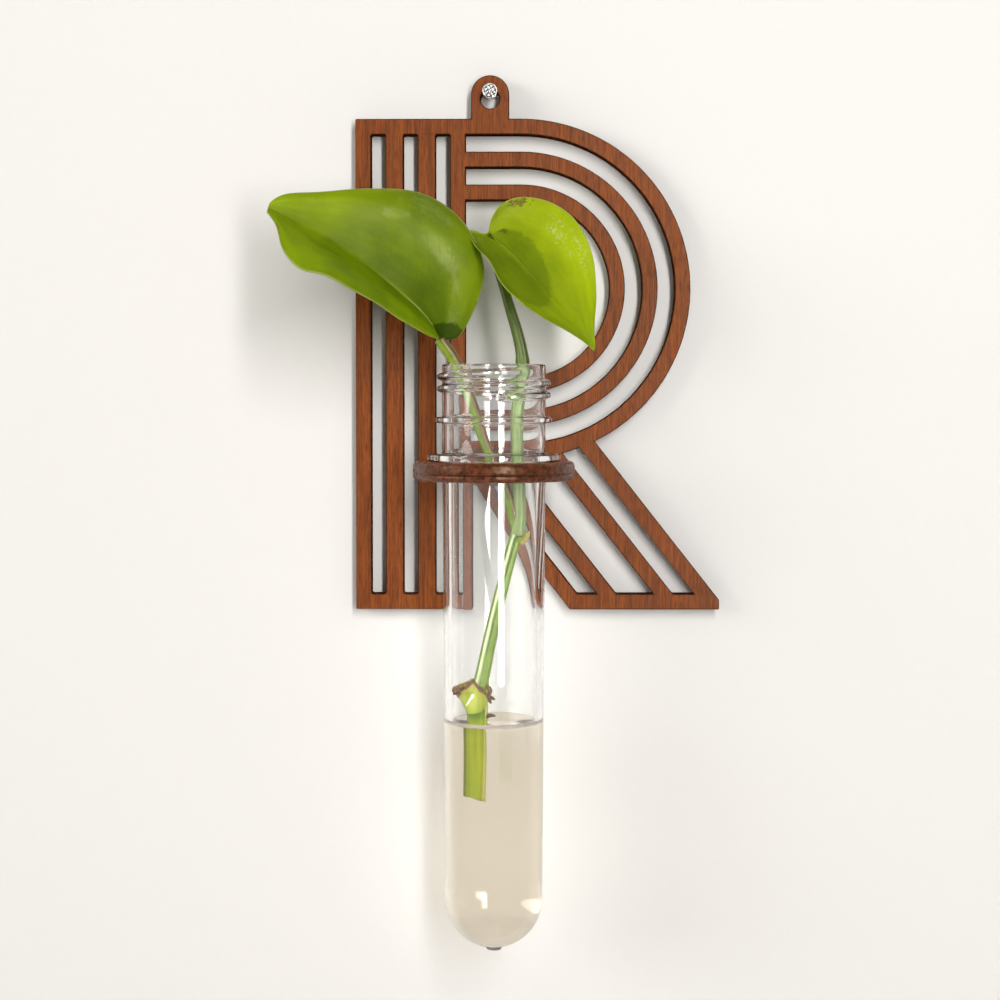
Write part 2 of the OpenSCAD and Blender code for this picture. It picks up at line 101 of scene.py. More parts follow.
# Where the cutting's stems run, as [across, toward the wall, up] from the mouth's middle,
# in shares of the bore and of the depth that the cutting reaches
BORE_SHARE = 10.4
DEPTH_SHARE = 103.3
UPPER_JOINT = (0.54, -0.28, -0.396)
LOWER_JOINT = (-0.3, -0.39, -0.742)
YOUNG_STEM = ((0.42, -0.28, -0.427), (0.03, -0.33, -0.584), (-0.24, -0.37, -0.712))
OLD_STEM = ((-0.36, -0.41, -0.793), (-0.36, -0.42, -0.894), (-0.38, -0.42, -1))
LEFT_STALK = (
    (0.43, -0.27, -0.346), (0.24, -0.26, -0.281), (-0.13, -0.21, -0.203),
    (-0.46, -0.15, -0.102), (-0.86, -0.1, 0), (-1.24, -0.18, 0.059),
)
RIGHT_STALK = (
    (0.57, -0.27, -0.346), (0.55, -0.25, -0.244), (0.53, -0.23, -0.122), (0.66, -0.18, 0.012),
    (0.33, -0.12, 0.146), (0.11, -0.05, 0.213), (-0.13, 0, 0.299),
)

# Leaf blades as rows from the stalk to the tip, in millimetres from the stalk's end:
# a point of the midrib, of the far margin and of the near margin
LEFT_BLADE = (
    ((-1.6, -1.0, 3.1), (5.1, -1.5, 1.1), (-2.5, -3.5, 0.6)),
    ((-5.1, -2.5, 7.1), (10.1, -2.0, 12.1), (-8.3, -9.5, 3.9)),
    ((-9.7, -4.5, 11.2), (9.9, -2.0, 20.1), (-14.1, -15.5, 7.9)),
    ((-15.0, -6.5, 15.6), (4.2, -2.0, 29.4), (-20.0, -20.0, 10.8)),
    ((-20.5, -8.5, 19.4), (-4.8, -3.0, 34.7), (-25.4, -22.5, 13.7)),
    ((-26.6, -11.0, 23.2), (-16.5, -6.0, 35.2), (-30.9, -23.0, 15.5)),
    ((-32.6, -13.5, 26.5), (-27.3, -10.5, 34.0), (-35.0, -21.0, 19.7)),
    ((-36.8, -15.0, 28.7), (-35.5, -14.5, 33.0), (-37.0, -17.5, 25.5)),
)
LEFT_TIP = (-40.0, -15.5, 29.9)
RIGHT_BLADE = (
    ((1.7, -0.5, -1.5), (0.7, 0.0, 3.8), (-4.5, -2.5, 1.0)),
    ((3.9, -1.5, -3.5), (3.3, 0.7, 7.7), (-2.9, -7.5, -3.2)),
    ((6.5, -3.0, -6.2), (8.4, 1.0, 9.4), (0.5, -12.5, -7.1)),
    ((9.6, -4.5, -9.6), (15.1, 0.5, 7.9), (3.5, -15.5, -12.2)),
    ((13.1, -6.0, -13.5), (21.1, -1.0, 3.2), (8.4, -16.5, -17.1)),
    ((16.9, -7.5, -17.6), (24.8, -3.5, -4.6), (13.5, -15.5, -20.7)),
    ((20.4, -9.0, -21.7), (25.7, -6.5, -13.8), (18.2, -13.5, -23.0)),
    ((23.4, -10.1, -25.5), (25.2, -9.5, -21.7), (22.0, -11.3, -25.3)),
)
RIGHT_TIP = (25.3, -10.5, -28.0)

# Lamps: where they stand from the object (degrees to the right and up), their distance and
# size in metres, and their colour and shape
LAMPS = {
    "window": ((18, -3.4), 1.7, (0.4, 0.42), (1.0, 0.985, 0.965), "RECTANGLE"),
    "key": ((15, 14), 0.9, (0.1, 0.7), (1.0, 0.985, 0.965), "RECTANGLE"),
    "side": ((-62, 14), 1.6, (1.0, 0.8), (1.0, 0.98, 0.93), "ELLIPSE"),
    "back": ((165, 25), 1.8, (1.2, 1.2), (1.0, 1.0, 1.0), "RECTANGLE"),
}
LAMPS_LOOK_AT = Vector((0.003, -0.02, -0.1))
CAMERA_PLACE = (0.0089, -0.49759, -0.07619)
CAMERA_TURN = (math.radians(90 - 1.503), 0, math.radians(0.747))

# The wall, which lies just behind the letter's back, and the floor, in metres
WALL_WIDTH, WALL_TOP, WALL_Y, FLOOR_WIDTH, FLOOR_Z = 6, 2, 0.0001, 8, -0.9

# Share of the lamps' light that shines straight through the clear pieces
CLEAR_TO_LAMPS = 0.82

# Height above the water's level from which a painted shade band lies along its raised edge
MENISCUS_SHADE_HEIGHT = 0.12


# ---------------------------------------------------------------- settings


def setting(kind, **limits):
    """A maker of settings of one kind, each from its name, description and default."""
    def make(name, description, default):
        return kind(name=name, description=description, default=default, **limits)
    return make


a_colour = setting(FloatVectorProperty, subtype="COLOR", size=3, min=0, max=1)
a_length = setting(FloatProperty, subtype="DISTANCE", unit="LENGTH", min=0, max=1, precision=5)
a_share = setting(FloatProperty, subtype="FACTOR", min=0, max=1)
an_angle = setting(FloatProperty, subtype="ANGLE", min=-25, max=25)
a_power = setting(FloatProperty, subtype="POWER", unit="POWER", min=0, max=200)
a_lens = setting(FloatProperty, unit="CAMERA", min=10, max=300)
a_count = setting(IntProperty, min=32, max=512)
a_number = setting(FloatProperty, min=0, max=2)


class PlywoodSettings(bpy.types.PropertyGroup):
    """Finish of the letter and of the ring"""

    stain_light: a_colour("Light stain", "Stain on the pale grain", (0.32, 0.076, 0.009))
    stain_dark: a_colour("Dark stain", "Stain in the dark grain", (0.08, 0.016, 0.002))
    cut_dark: a_colour("Letter's burnt edge", "Edge cut by the laser", (0.026, 0.01, 0.005))
    cut_brown: a_colour("Letter's brown edge", "Paler parts of the edge", (0.11, 0.036, 0.014))
    burnt: a_colour("Ring's burnt edge", "Burnt parts of its rim", (0.035, 0.011, 0.005))
    singed: a_colour("Ring's brown edge", "Paler parts of its rim", (0.21, 0.058, 0.024))
    edge_round: a_length("Edge rounding", "Rounding of the letter's cut edges", 0.00027)
    ring_round: a_length("Ring rounding", "Rounding of the ring's worn rim", 0.0011)
    lacquer: a_share("Lacquer roughness", "Roughness of the faces", 0.46)


class NailSettings(bpy.types.PropertyGroup):
    """Sizes and finish of the nail"""

    check_pitch: a_length("Check pitch", "Distance between the head's grooves", 0.00092)
    check_depth: a_length("Check depth", "Depth of the head's grooves", 0.0004)
    steel: a_colour("Steel", "Colour of the bright steel", (0.78, 0.78, 0.77))


class TubeSettings(bpy.types.PropertyGroup):
    """Screw thread and plastic of the tube"""

    thread_pitch: a_length("Thread pitch", "Rise of the thread in a turn", 0.0029)
    thread_height: a_length("Thread height", "Height of the thread", 0.00125)
    thread_start: an_angle("Thread start", "Angle of the thread's lower end", -math.pi / 2)
    thread_turn: an_angle("Thread length", "Angle that the thread runs", math.radians(770))
    sides: a_count("Sides", "Points round the tube", 192)
    refraction: a_number("Refraction", "Index of refraction of the plastic", 1.52)
    tint: a_colour("Tint", "Colour of the clear plastic", (0.985, 0.99, 0.985))


class WaterSettings(bpy.types.PropertyGroup):
    """Surface and colour of the water"""

    meniscus: a_length("Meniscus", "Rise of the water at the tube's wall", 0.0012)
    reach: a_length("Meniscus reach", "Distance over which the rise dies away", 0.0009)
    overlap: a_length("Wetting", "How far the water reaches into the wall", 0.00008)
    refraction: a_number("Refraction", "Index of refraction of the water", 1.33)
    tint: a_colour("Tint", "Colour of the standing water", (0.9, 0.84, 0.75))


class CuttingSettings(bpy.types.PropertyGroup):
    """Colours of the vine cutting"""

    stem: a_colour("Stem", "Young stem", (0.23, 0.32, 0.05))
    stem_shade: a_colour("Stem streaks", "Darker streaks on the stem", (0.09, 0.155, 0.012))
    old_stem: a_colour("Old stem", "Old stem in the water", (0.38, 0.44, 0.002))
    old_stem_shade: a_colour("Old stem streaks", "Darker streaks", (0.23, 0.3, 0.002))
    left_stalk: a_colour("Left stalk", "Stalk of the grown leaf", (0.27, 0.37, 0.015))
    left_stalk_shade: a_colour("Left stalk streaks", "Darker streaks", (0.12, 0.19, 0.008))
    right_stalk: a_colour("Right stalk", "Stalk of the young leaf", (0.13, 0.19, 0.012))
    right_stalk_shade: a_colour("Right stalk streaks", "Darker streaks", (0.04, 0.07, 0.005))
    sheath: a_colour("Sheath", "Cup of the old sheath", (0.38, 0.42, 0.03))
    sheath_shade: a_colour("Sheath streaks", "Darker streaks", (0.2, 0.27, 0.012))
    bark: a_colour("Dry rim", "Dried rims of the old sheath", (0.19, 0.09, 0.03))
    leaf: a_colour("Leaf", "Blade of the grown leaf", (0.37, 0.48, 0.004))
    leaf_shade: a_colour("Leaf mottle", "Darker parts of the grown leaf", (0.15, 0.235, 0.003))
    young_leaf: a_colour("Young leaf", "Blade of the young leaf", (0.5, 0.585, 0.004))
    young_leaf_shade: a_colour("Young leaf mottle", "Darker parts", (0.27, 0.36, 0.004))
    leaf_thickness: a_length("Leaf thickness", "Blade beside the midrib", 0.00045)


class StageSettings(bpy.types.PropertyGroup):
    """Camera, lamps and background"""

    lens: a_lens("Lens", "Focal length of the camera", 70.7)
    wall: a_colour("Wall", "Colour of the wall and the floor", (0.95, 0.935, 0.915))
    ambient: a_number("Ambient light", "Strength of the even light", 0.14)
    room: a_share("Room", "Brightness of the room that gloss shows in front", 0.22)
    window: a_power("Window lamp", "Power of the lamp that shows in gloss only", 6.6)
    key: a_power("Key lamp", "Power of the tall, narrow lamp at the upper right", 5.8)
    side: a_power("Side lamp", "Power of the broad lamp at the left", 11)
    back: a_power("Back lamp", "Power of the lamp behind the wall", 16)


# ---------------------------------------------------------------- shapes


def through(points, t):
    """A smooth curve through all its points, t from 0 to 1."""
    spans = len(points) - 1
    span = min(int(t * spans), spans - 1)
    u = t * spans - span
    b, c = points[span], points[span + 1]
    a = points[span - 1] if span else 2 * b - c
    d = points[span + 2] if span + 2 <= spans else 2 * c - b
    return 0.5 * (
        2 * b + (c - a) * u + (2 * a - 5 * b + 4 * c - d) * u * u
        + (3 * b - a - 3 * c + d) * u * u * u
    )


def spread(values, t):
    """A value from a list of evenly spaced ones."""
    place = t * (len(values) - 1)
    at = min(int(place), len(values) - 2)
    return values[at] + (values[at + 1] - values[at]) * (place - at)


def smooth(low, high, x):
    """0 at low, 1 at high, with a soft change between; low may be the greater."""
    x = min(max((x - low) / (high - low), 0.0), 1.0)
    return x * x * (3 - 2 * x)


def hump(distance, width):
    """1 at no distance, dying away over the width."""
    return math.exp(-((distance / width) ** 2))


def turns(count):
    """Angles evenly round a circle."""
    return [2 * math.pi * i / count for i in range(count)]


def rounded(path):
    """A path of (radius, height, rounding) with its corners rounded."""
    out, steps = [], 4
    for i, (r, z, size) in enumerate(path):
        here = Vector((r, z))
        if not size or i in (0, len(path) - 1):
            out.append(here)
            continue
        before = Vector(path[i - 1][:2]) - here
        after = Vector(path[i + 1][:2]) - here
        size = min(size, before.length / 2, after.length / 2)
        a, b = here + before.normalized() * size, here + after.normalized() * size
        for t in (k / steps for k in range(steps + 1)):
            out.append(a * (1 - t) ** 2 + here * (2 * t * (1 - t)) + b * t * t)
    return out


def dense(path, longest):
    """The path with no step longer than longest."""
    out = [Vector(path[0])]
    for a, b in zip(map(Vector, path), map(Vector, path[1:])):
        steps = max(1, math.ceil((b - a).length / longest))
        out.extend(a + (b - a) * (k / steps) for k in range(1, steps + 1))
    return out


def arc(radius, z, start, end, steps):
    """Points of an arc about the axis at height z, angles in degrees from level."""
    turn = [math.radians(start + (end - start) * k / steps) for k in range(steps + 1)]
    return [Vector((radius * math.cos(a), z + radius * math.sin(a))) for a in turn]


def placed(name, data):
    """An object of the scene from its mesh, lamp or camera."""
    made = bpy.data.objects.new(name, data)
    bpy.context.scene.collection.objects.link(made)
    return made


# A skin is a list of points, a list of faces and a list of the points' marks.


def make_piece(name, skins, body, node, material, sharp=None):
    """A smooth-shaded piece from its skins, with its ride. Edges that turn by
    more than sharp, in degrees, stay sharp."""
    points, faces, marks = [], [], []
    for more_points, more_faces, more_marks in skins:
        faces += [tuple(i + len(points) for i in face) for face in more_faces]
        points += more_points
        marks += more_marks
    mesh = bpy.data.meshes.new(name)
    mesh.from_pydata([Vector(p) * MM for p in points], [], faces)
    mesh.validate()
    outward = bmesh.new()
    outward.from_mesh(mesh)
    bmesh.ops.recalc_face_normals(outward, faces=outward.faces)
    outward.to_mesh(mesh)
    outward.free()
    mesh.shade_smooth()
    if sharp:
        mesh.set_sharp_from_angle(angle=math.radians(sharp))
    if marks:
        layer = mesh.attributes.new("marks", "FLOAT_VECTOR", "POINT")
        layer.data.foreach_set("vector", [c for mark in marks for c in mark])
    mesh.materials.append(material)
    piece = placed(name, mesh)
    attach(piece, body)
    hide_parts(node)


def band(low, high, n):
    """Faces between two rings of n points, from the indices of their first points."""
    return [(low + i, low + (i + 1) % n, high + (i + 1) % n, high + i) for i in range(n)]


def tube_skin(rings, start, end, marks=()):
    """A closed skin over rings of equal count, with a pole point at each end."""
    n, last = len(rings[0]), len(rings) - 1
    points = [p for ring in rings for p in ring]
    faces = [face for r in range(last) for face in band(r * n, r * n + n, n)]
    for pole, first in ((start, 0), (end, last * n)):
        faces += [(len(points), first + i, first + (i + 1) % n) for i in range(n)]
        points.append(pole)
    return points, faces, list(marks)


def lathe(path, sides, reach=None, lift=None):
    """A body of revolution about the tube's axis, from pole to pole. reach and lift say how
    far its points stand out and are raised."""
    rings = []
    for r, z in path[1:-1]:
        ring = []
        for a in turns(sides):
            radius = r + (reach(a, r, z) if reach else 0)
            x, y = TUBE_X + radius * math.cos(a), TUBE_Y + radius * math.sin(a)
            ring.append((x, y, z + (lift(x, y, r, z) if lift else 0)))
        rings.append(ring)
    return tube_skin(rings, *(
        (TUBE_X, TUBE_Y, z + (lift(TUBE_X, TUBE_Y, 0, z) if lift else 0))
        for z in (path[0][1], path[-1][1])
    ))


def mouth_place(shares):
    """A place in the cutting, in millimetres."""
    return Vector((
        TUBE_X + shares[0] * BORE_SHARE, TUBE_Y + shares[1] * BORE_SHARE,
        MOUTH_Z + shares[2] * DEPTH_SHARE,
    ))


def stem_skin(places, radii, rings, sides=28, shape=lambda a, t: 1, dry=lambda t: 0.0, foot=0):
    """A round stem, with marks (share round it, millimetres along it, dryness). foot is the
    slope of its cut end."""
    grid, marks, length, last, step = [], [], 0.0, None, 0.004
    for k in range(rings):
        t = k / (rings - 1)
        place = through(places, t)
        along = through(places, min(t + step, 1)) - through(places, max(t - step, 0))
        along.normalize()
        right = along.cross(Vector((0, -1, 0))).normalized()
        front = right.cross(along)
        length += (place - last).length if last else 0
        last = place
        ring = []
        for i, a in enumerate(turns(sides)):
            radius = spread(radii, t) * shape(a, t)
            point = place + radius * (math.cos(a) * right + math.sin(a) * front)
            if k == rings - 1:
                point = point + along * (foot * (point - place).dot(right))
            ring.append(point)
            marks.append((i / sides, length, dry(t)))
        grid.append(ring)
    poles = (sum(ring, Vector()) / sides for ring in (grid[0], grid[-1]))
    return tube_skin(grid, *poles, marks + [(0.5, 0.0, 0.0), (0.5, length, 0.0)])


def beside(place, offsets):
    """Places at offsets from a place."""
    return [place + Vector(offset) for offset in offsets]


# ---------------------------------------------------------------- materials


class Nodes:
    """A node tree under construction, with short names for its nodes."""

    def __init__(self, tree, output):
        self.tree = tree
        self.surface = tree.nodes[output].inputs["Surface"]

    def node(self, kind, settings=(), **inputs):
        made = self.tree.nodes.new(kind)
        for key, value in dict(settings).items():
            setattr(made, key, value)
        for key, value in inputs.items():
            self.give(made.inputs[key.replace("_", " ")], value)
        return made

    def give(self, socket, value):
        if isinstance(value, bpy.types.NodeSocket):
            self.tree.links.new(value, socket)
        elif socket.type == "RGBA" and len(value) == 3:
            socket.default_value = (*value, 1)
        else:
            socket.default_value = value

    def fill(self, node, places, values):
        """Give a node's inputs their values, and return its outputs."""
        for place, value in zip(places, values):
            self.give(node.inputs[place], value)
        return node.outputs

    def show(self, share, shader, other):
        """Show one shader, and the other by a share."""
        mixed = self.node("ShaderNodeMixShader")
        values = share, shader.outputs[0], other.outputs[0]
        self.give(self.surface, self.fill(mixed, (0, 1, 2), values)[0])

    def math(self, operation, a, b=0.5, c=0.5, clamp=False):
        made = self.node("ShaderNodeMath", {"operation": operation, "use_clamp": clamp})
        return self.fill(made, (0, 1, 2), (a, b, c))[0]

    def times(self, a, b):
        return self.math("MULTIPLY", a, b)

    def plus(self, a, b):
        return self.math("ADD", a, b)

    def minus(self, a, b):
        return self.math("SUBTRACT", a, b)

    def most(self, *values):
        """The greatest of the values."""
        most = values[0]
        for value in values[1:]:
            most = self.math("MAXIMUM", most, value)
        return most

    def away(self, value, middle):
        """How far a value is from a middle one."""
        return self.math("ABSOLUTE", self.minus(value, middle))

    def sway(self, value, noise, by):
        """The value moved to and fro by a noise."""
        return self.math("MULTIPLY_ADD", self.minus(noise, 0.5), by, value)

    def step(self, value, low, high):
        """0 below low, 1 above high; low may be the greater."""
        return self.node(
            "ShaderNodeMapRange", {"interpolation_type": "SMOOTHSTEP"}, Value=value,
            From_Min=min(low, high), From_Max=max(low, high), To_Min=float(low > high),
            To_Max=float(low < high),
        ).outputs["Result"]

    def scale(self, value, low, high, to_low=0, to_high=1):
        return self.node(
            "ShaderNodeMapRange", Value=value, From_Min=low, From_Max=high, To_Min=to_low,
            To_Max=to_high,
        ).outputs["Result"]

    def blend(self, share, a, b, kind="MIX"):
        made = self.node("ShaderNodeMix", {"data_type": "RGBA", "blend_type": kind})
        return self.fill(made, (0, 6, 7), (share, a, b))[2]

    def toned(self, colour, by):
        """The colour multiplied by another."""
        return self.blend(1.0, colour, by, "MULTIPLY")

    def over(self, base, colour, where, share):
        """The base with a colour over it, as strong as where times share."""
        return self.blend(self.times(where, share), base, colour)

    def ramp(self, value, low, high, dark, pale):
        """From a dark colour at low to a pale one at high."""
        return self.blend(self.scale(value, low, high), dark, pale)

    def stretched(self, place, by):
        made = self.node("ShaderNodeVectorMath", {"operation": "MULTIPLY"})
        return self.fill(made, (0, 1), (place, by))[0]

    def noise(self, place, scale, detail=2.0, roughness=0.5):
        """Noise at a scale, which may be a tuple for the three directions."""
        if isinstance(scale, tuple):
            place, scale = self.stretched(place, scale), 1.0
        return self.node(
            "ShaderNodeTexNoise", Vector=place, Scale=scale, Detail=detail, Roughness=roughness
        ).outputs["Fac"]

    def parts(self, vector):
        return self.node("ShaderNodeSeparateXYZ", Vector=vector).outputs[:3]

    def vector(self, x, y, z):
        return self.node("ShaderNodeCombineXYZ", X=x, Y=y, Z=z).outputs[0]


class Finish(Nodes):
    """A material under construction, with the place on its piece in millimetres and the
    normal there, as the piece was made."""

    def __init__(self, name):
        self.material = bpy.data.materials.new(name)
        self.material.use_nodes = True
        super().__init__(self.material.node_tree, "Material Output")
        self.shader = self.tree.nodes["Principled BSDF"]
        made = self.node("ShaderNodeTexCoord")
        self.place = self.stretched(made.outputs["Object"], (1 / MM,) * 3)
        self.normal = made.outputs["Normal"]

    def set(self, **inputs):
        for key, value in inputs.items():
            self.give(self.shader.inputs[key.replace("_", " ")], value)

    def marks(self):
        made = self.node("ShaderNodeAttribute", {"attribute_name": "marks"})
        return self.parts(made.outputs["Vector"])

    def bump(self, height, strength, distance):
        return self.node(
            "ShaderNodeBump", Height=height, Strength=strength, Distance=distance
        ).outputs["Normal"]


def plywood_finish(name, settings, upright):
    """Stained plywood. upright is true where the sheet stands and its grain runs up."""
    f = Finish(name)
    x, y, z = f.parts(f.place)
    _, normal_y, normal_z = f.parts(f.normal)
    if upright:
        across, along, depth, facing = x, z, f.times(y, -1.0), normal_y
        dark, brown, flat_range = settings.cut_dark, settings.cut_brown, (0.975, 0.998)
        roughness, tint = settings.lacquer, (1.0, 0.8, 0.65, 1.0)
    else:
        across, along, depth, facing = y, x, f.minus(z, RING_LOW.z), normal_z
        dark, brown, flat_range = settings.burnt, settings.singed, (0.8, 0.96)
        roughness, tint = settings.lacquer - 0.18, (1.0, 0.72, 0.5, 1.0)
    wander = f.noise(f.vector(across, along, depth), (0.04, 0.012, 0.2), 1.0)
    grain = f.vector(f.math("MULTIPLY_ADD", wander, 3.0, across), along, depth)
    streaks = f.noise(grain, (0.7, 0.02, 0.5), 3.0, 0.6)
    fibres = f.noise(grain, (3.4, 0.12, 1.0), 5.0, 0.8)
    pores = f.step(f.noise(grain, (5.0, 0.3, 2.0), 1.5), 0.58, 0.66)
    patches = f.step(f.noise(grain, (0.09, 0.04, 0.2), 3.0), 0.42, 0.66)
    tone = f.plus(f.times(streaks, 0.3), f.times(fibres, 0.7))
    face = f.ramp(tone, 0.36, 0.62, settings.stain_dark, settings.stain_light)
    face = f.over(face, f.toned(face, (1.3, 1.2, 1.1)), patches, 0.4)
    face = f.over(face, settings.stain_dark, pores, 0.6)
    # Edges: three plies with two glue lines, burnt more or less along their length
    level = f.sway(depth, f.noise(f.place, (0.35, 0.35, 0.35)), 0.35)
    lower = f.step(f.away(level, GLUE_LOW), 0.3, 0.05)
    upper = f.step(f.away(level, GLUE_HIGH), 0.16, 0.03)
    middle = f.times(
        f.step(level, GLUE_LOW - 0.1, GLUE_LOW + 0.1),
        f.step(level, GLUE_HIGH + 0.1, GLUE_HIGH - 0.1),
    )
    char = f.noise(f.place, (0.9, 0.9, 0.9), 4.0, 0.6)
    edge = f.ramp(char, 0.35, 0.66, dark, brown)
    edge = f.over(edge, dark, middle, 0.2)
    edge = f.over(edge, (0.018, 0.008, 0.005), f.most(lower, f.times(upper, 0.45)), 0.75)
    flat = f.step(f.math("ABSOLUTE", facing), *flat_range)
    f.set(
        Base_Color=f.blend(flat, edge, face),
        Roughness=f.sway(roughness, streaks, 0.25),
        Specular_IOR_Level=f.times(flat, 0.24) if upright else 0.34,
        Specular_Tint=tint,
        Normal=f.bump(f.plus(f.times(fibres, 0.5), f.times(pores, -0.5)), 0.35, 0.00012),
    )
    return f.material


def steel_finish(settings):
    """Bright steel with a little tarnish, and painted shade in the head's grooves."""
    f = Finish("bright nail steel")
    scratches = f.noise(f.place, (3.0, 1.2, 3.0), 4.0, 0.6)
    tarnish = f.scale(f.noise(f.place, 0.6, 3.0), 0.35, 0.7, 0, 0.6)
    sunk = f.parts(f.place)[1]
    front = NAIL_LOW.y
    # Painted shade: darker steel down in the head's grooves
    groove_shade = f.times(f.step(sunk, front + 0.1, front + 0.36), f.step(sunk, front + 0.55, front + 0.5))
    f.set(
        Base_Color=f.over(
            f.blend(tarnish, settings.steel, (0.5, 0.48, 0.45)), (0.12, 0.12, 0.14), groove_shade, 0.75
        ),
        Metallic=1.0,
        Roughness=f.scale(scratches, 0.3, 0.7, 0.18, 0.38),
        Normal=f.bump(scratches, 0.2, 0.00005),
    )
    return f.material


def clear_finish(name, settings, ripple, gate=None, meniscus_shade_from=None):
    """A clear moulded body or water, which lets lamps shine through. Below the height gate
    it is the rough grey end where the plastic was let in. Above the second height, on the
    viewer's side only, a painted shade band lies along the water's raised edge."""
    f = Finish(name)
    _, y, z = f.parts(f.place)
    tint = settings.tint
    colour, rough, clear = tint, 0.0, 1.0
    if gate is not None:
        end = f.step(z, gate + 0.12, gate - 0.02)
        colour, rough = f.blend(end, tint, (0.16, 0.155, 0.15)), f.times(end, 0.45)
    if meniscus_shade_from is not None:
        # Painted shade: a darker, less clear band along the raised edge, on the viewer's side only
        band_noise = f.noise(f.place, (0.35, 0.35, 1.6), 3.0, 0.6)
        edge = f.times(f.step(z, meniscus_shade_from, meniscus_shade_from + 0.3), f.scale(band_noise, 0.35, 0.65, 0.35, 0.85))
        edge = f.times(edge, f.step(y, TUBE_Y + 3.0, TUBE_Y - 3.0))
        colour, clear = f.blend(edge, tint, (0.32, 0.25, 0.2)), f.minus(1.0, edge)
    f.set(
        Base_Color=colour, Roughness=rough, IOR=settings.refraction, Transmission_Weight=clear,
        Normal=f.bump(f.noise(f.place, (0.16, 0.16, 0.05)), ripple, 0.0004),
    )
    to_lamp = f.node("ShaderNodeLightPath").outputs["Is Shadow Ray"]
    see_through = f.node("ShaderNodeBsdfTransparent", Color=tint)
    f.show(f.times(to_lamp, CLEAR_TO_LAMPS), f.shader, see_through)
    return f.material


def stem_finish(name, pale, shade, bark, roughness=0.36, strips=(), start=None, gloss=0.45):
    """A vine's stem: streaks along it, fine specks, dry brown where it is marked dry, and a
    painted cream highlight where it is marked below zero. Each of strips is a line along it:
    (share round it, half of its width, colour). start is another green of its beginning:
    (millimetres that it runs, colour)."""
    f = Finish(name)
    around, along, dryness = f.marks()
    turn = f.times(around, 2 * math.pi)
    loop = f.vector(f.math("COSINE", turn), f.math("SINE", turn), f.times(along, 0.05))
    streaks = f.noise(loop, (2.4, 2.4, 1.0), 4.0, 0.6)
    patches = f.noise(f.vector(around, 0.0, along), 0.28)
    specks = f.step(f.noise(f.place, 3.2), 0.64, 0.72)
    tone = f.plus(f.times(streaks, 0.75), f.times(patches, 0.25))
    green = f.ramp(tone, 0.36, 0.62, shade, pale)
    if start:
        end, colour = start
        near = f.step(f.math("MULTIPLY_ADD", patches, 3.0, along), end + 3.5, end)
        other = f.ramp(tone, 0.36, 0.62, tuple(c * 0.6 for c in colour), colour)
        green = f.blend(near, green, other)
    green = f.over(green, (0.5, 0.55, 0.2), specks, 0.25)
    for centre, half, colour in strips:
        away = f.sway(f.away(around, centre), patches, half)
        green = f.over(green, colour, f.step(away, half, half * 0.4), 0.8)
    rim = f.noise(f.place, 1.8, 4.0, 0.65)
    green = f.over(green, (0.4, 0.29, 0.035), f.step(f.sway(dryness, rim, 0.3), 0.1, 0.4), 0.75)
    # Painted highlight: cream where the mark is below zero
    green = f.blend(f.step(dryness, -0.1, -0.4), green, (0.9, 0.9, 0.75))
    dry = f.step(f.sway(dryness, rim, 0.7), 0.42, 0.62)
    f.set(
        Base_Color=f.blend(dry, green, f.ramp(rim, 0.35, 0.65, (0.04, 0.016, 0.006), bark)),
        Roughness=f.math("MULTIPLY_ADD", dry, 0.35, roughness),
        Specular_IOR_Level=gloss,
        Subsurface_Weight=0.1,
        Subsurface_Scale=0.001,
        Subsurface_Radius=(0.8, 1.0, 0.2),
        Normal=f.bump(f.plus(streaks, f.times(rim, dry)), 0.4, 0.00012),
    )
    return f.material


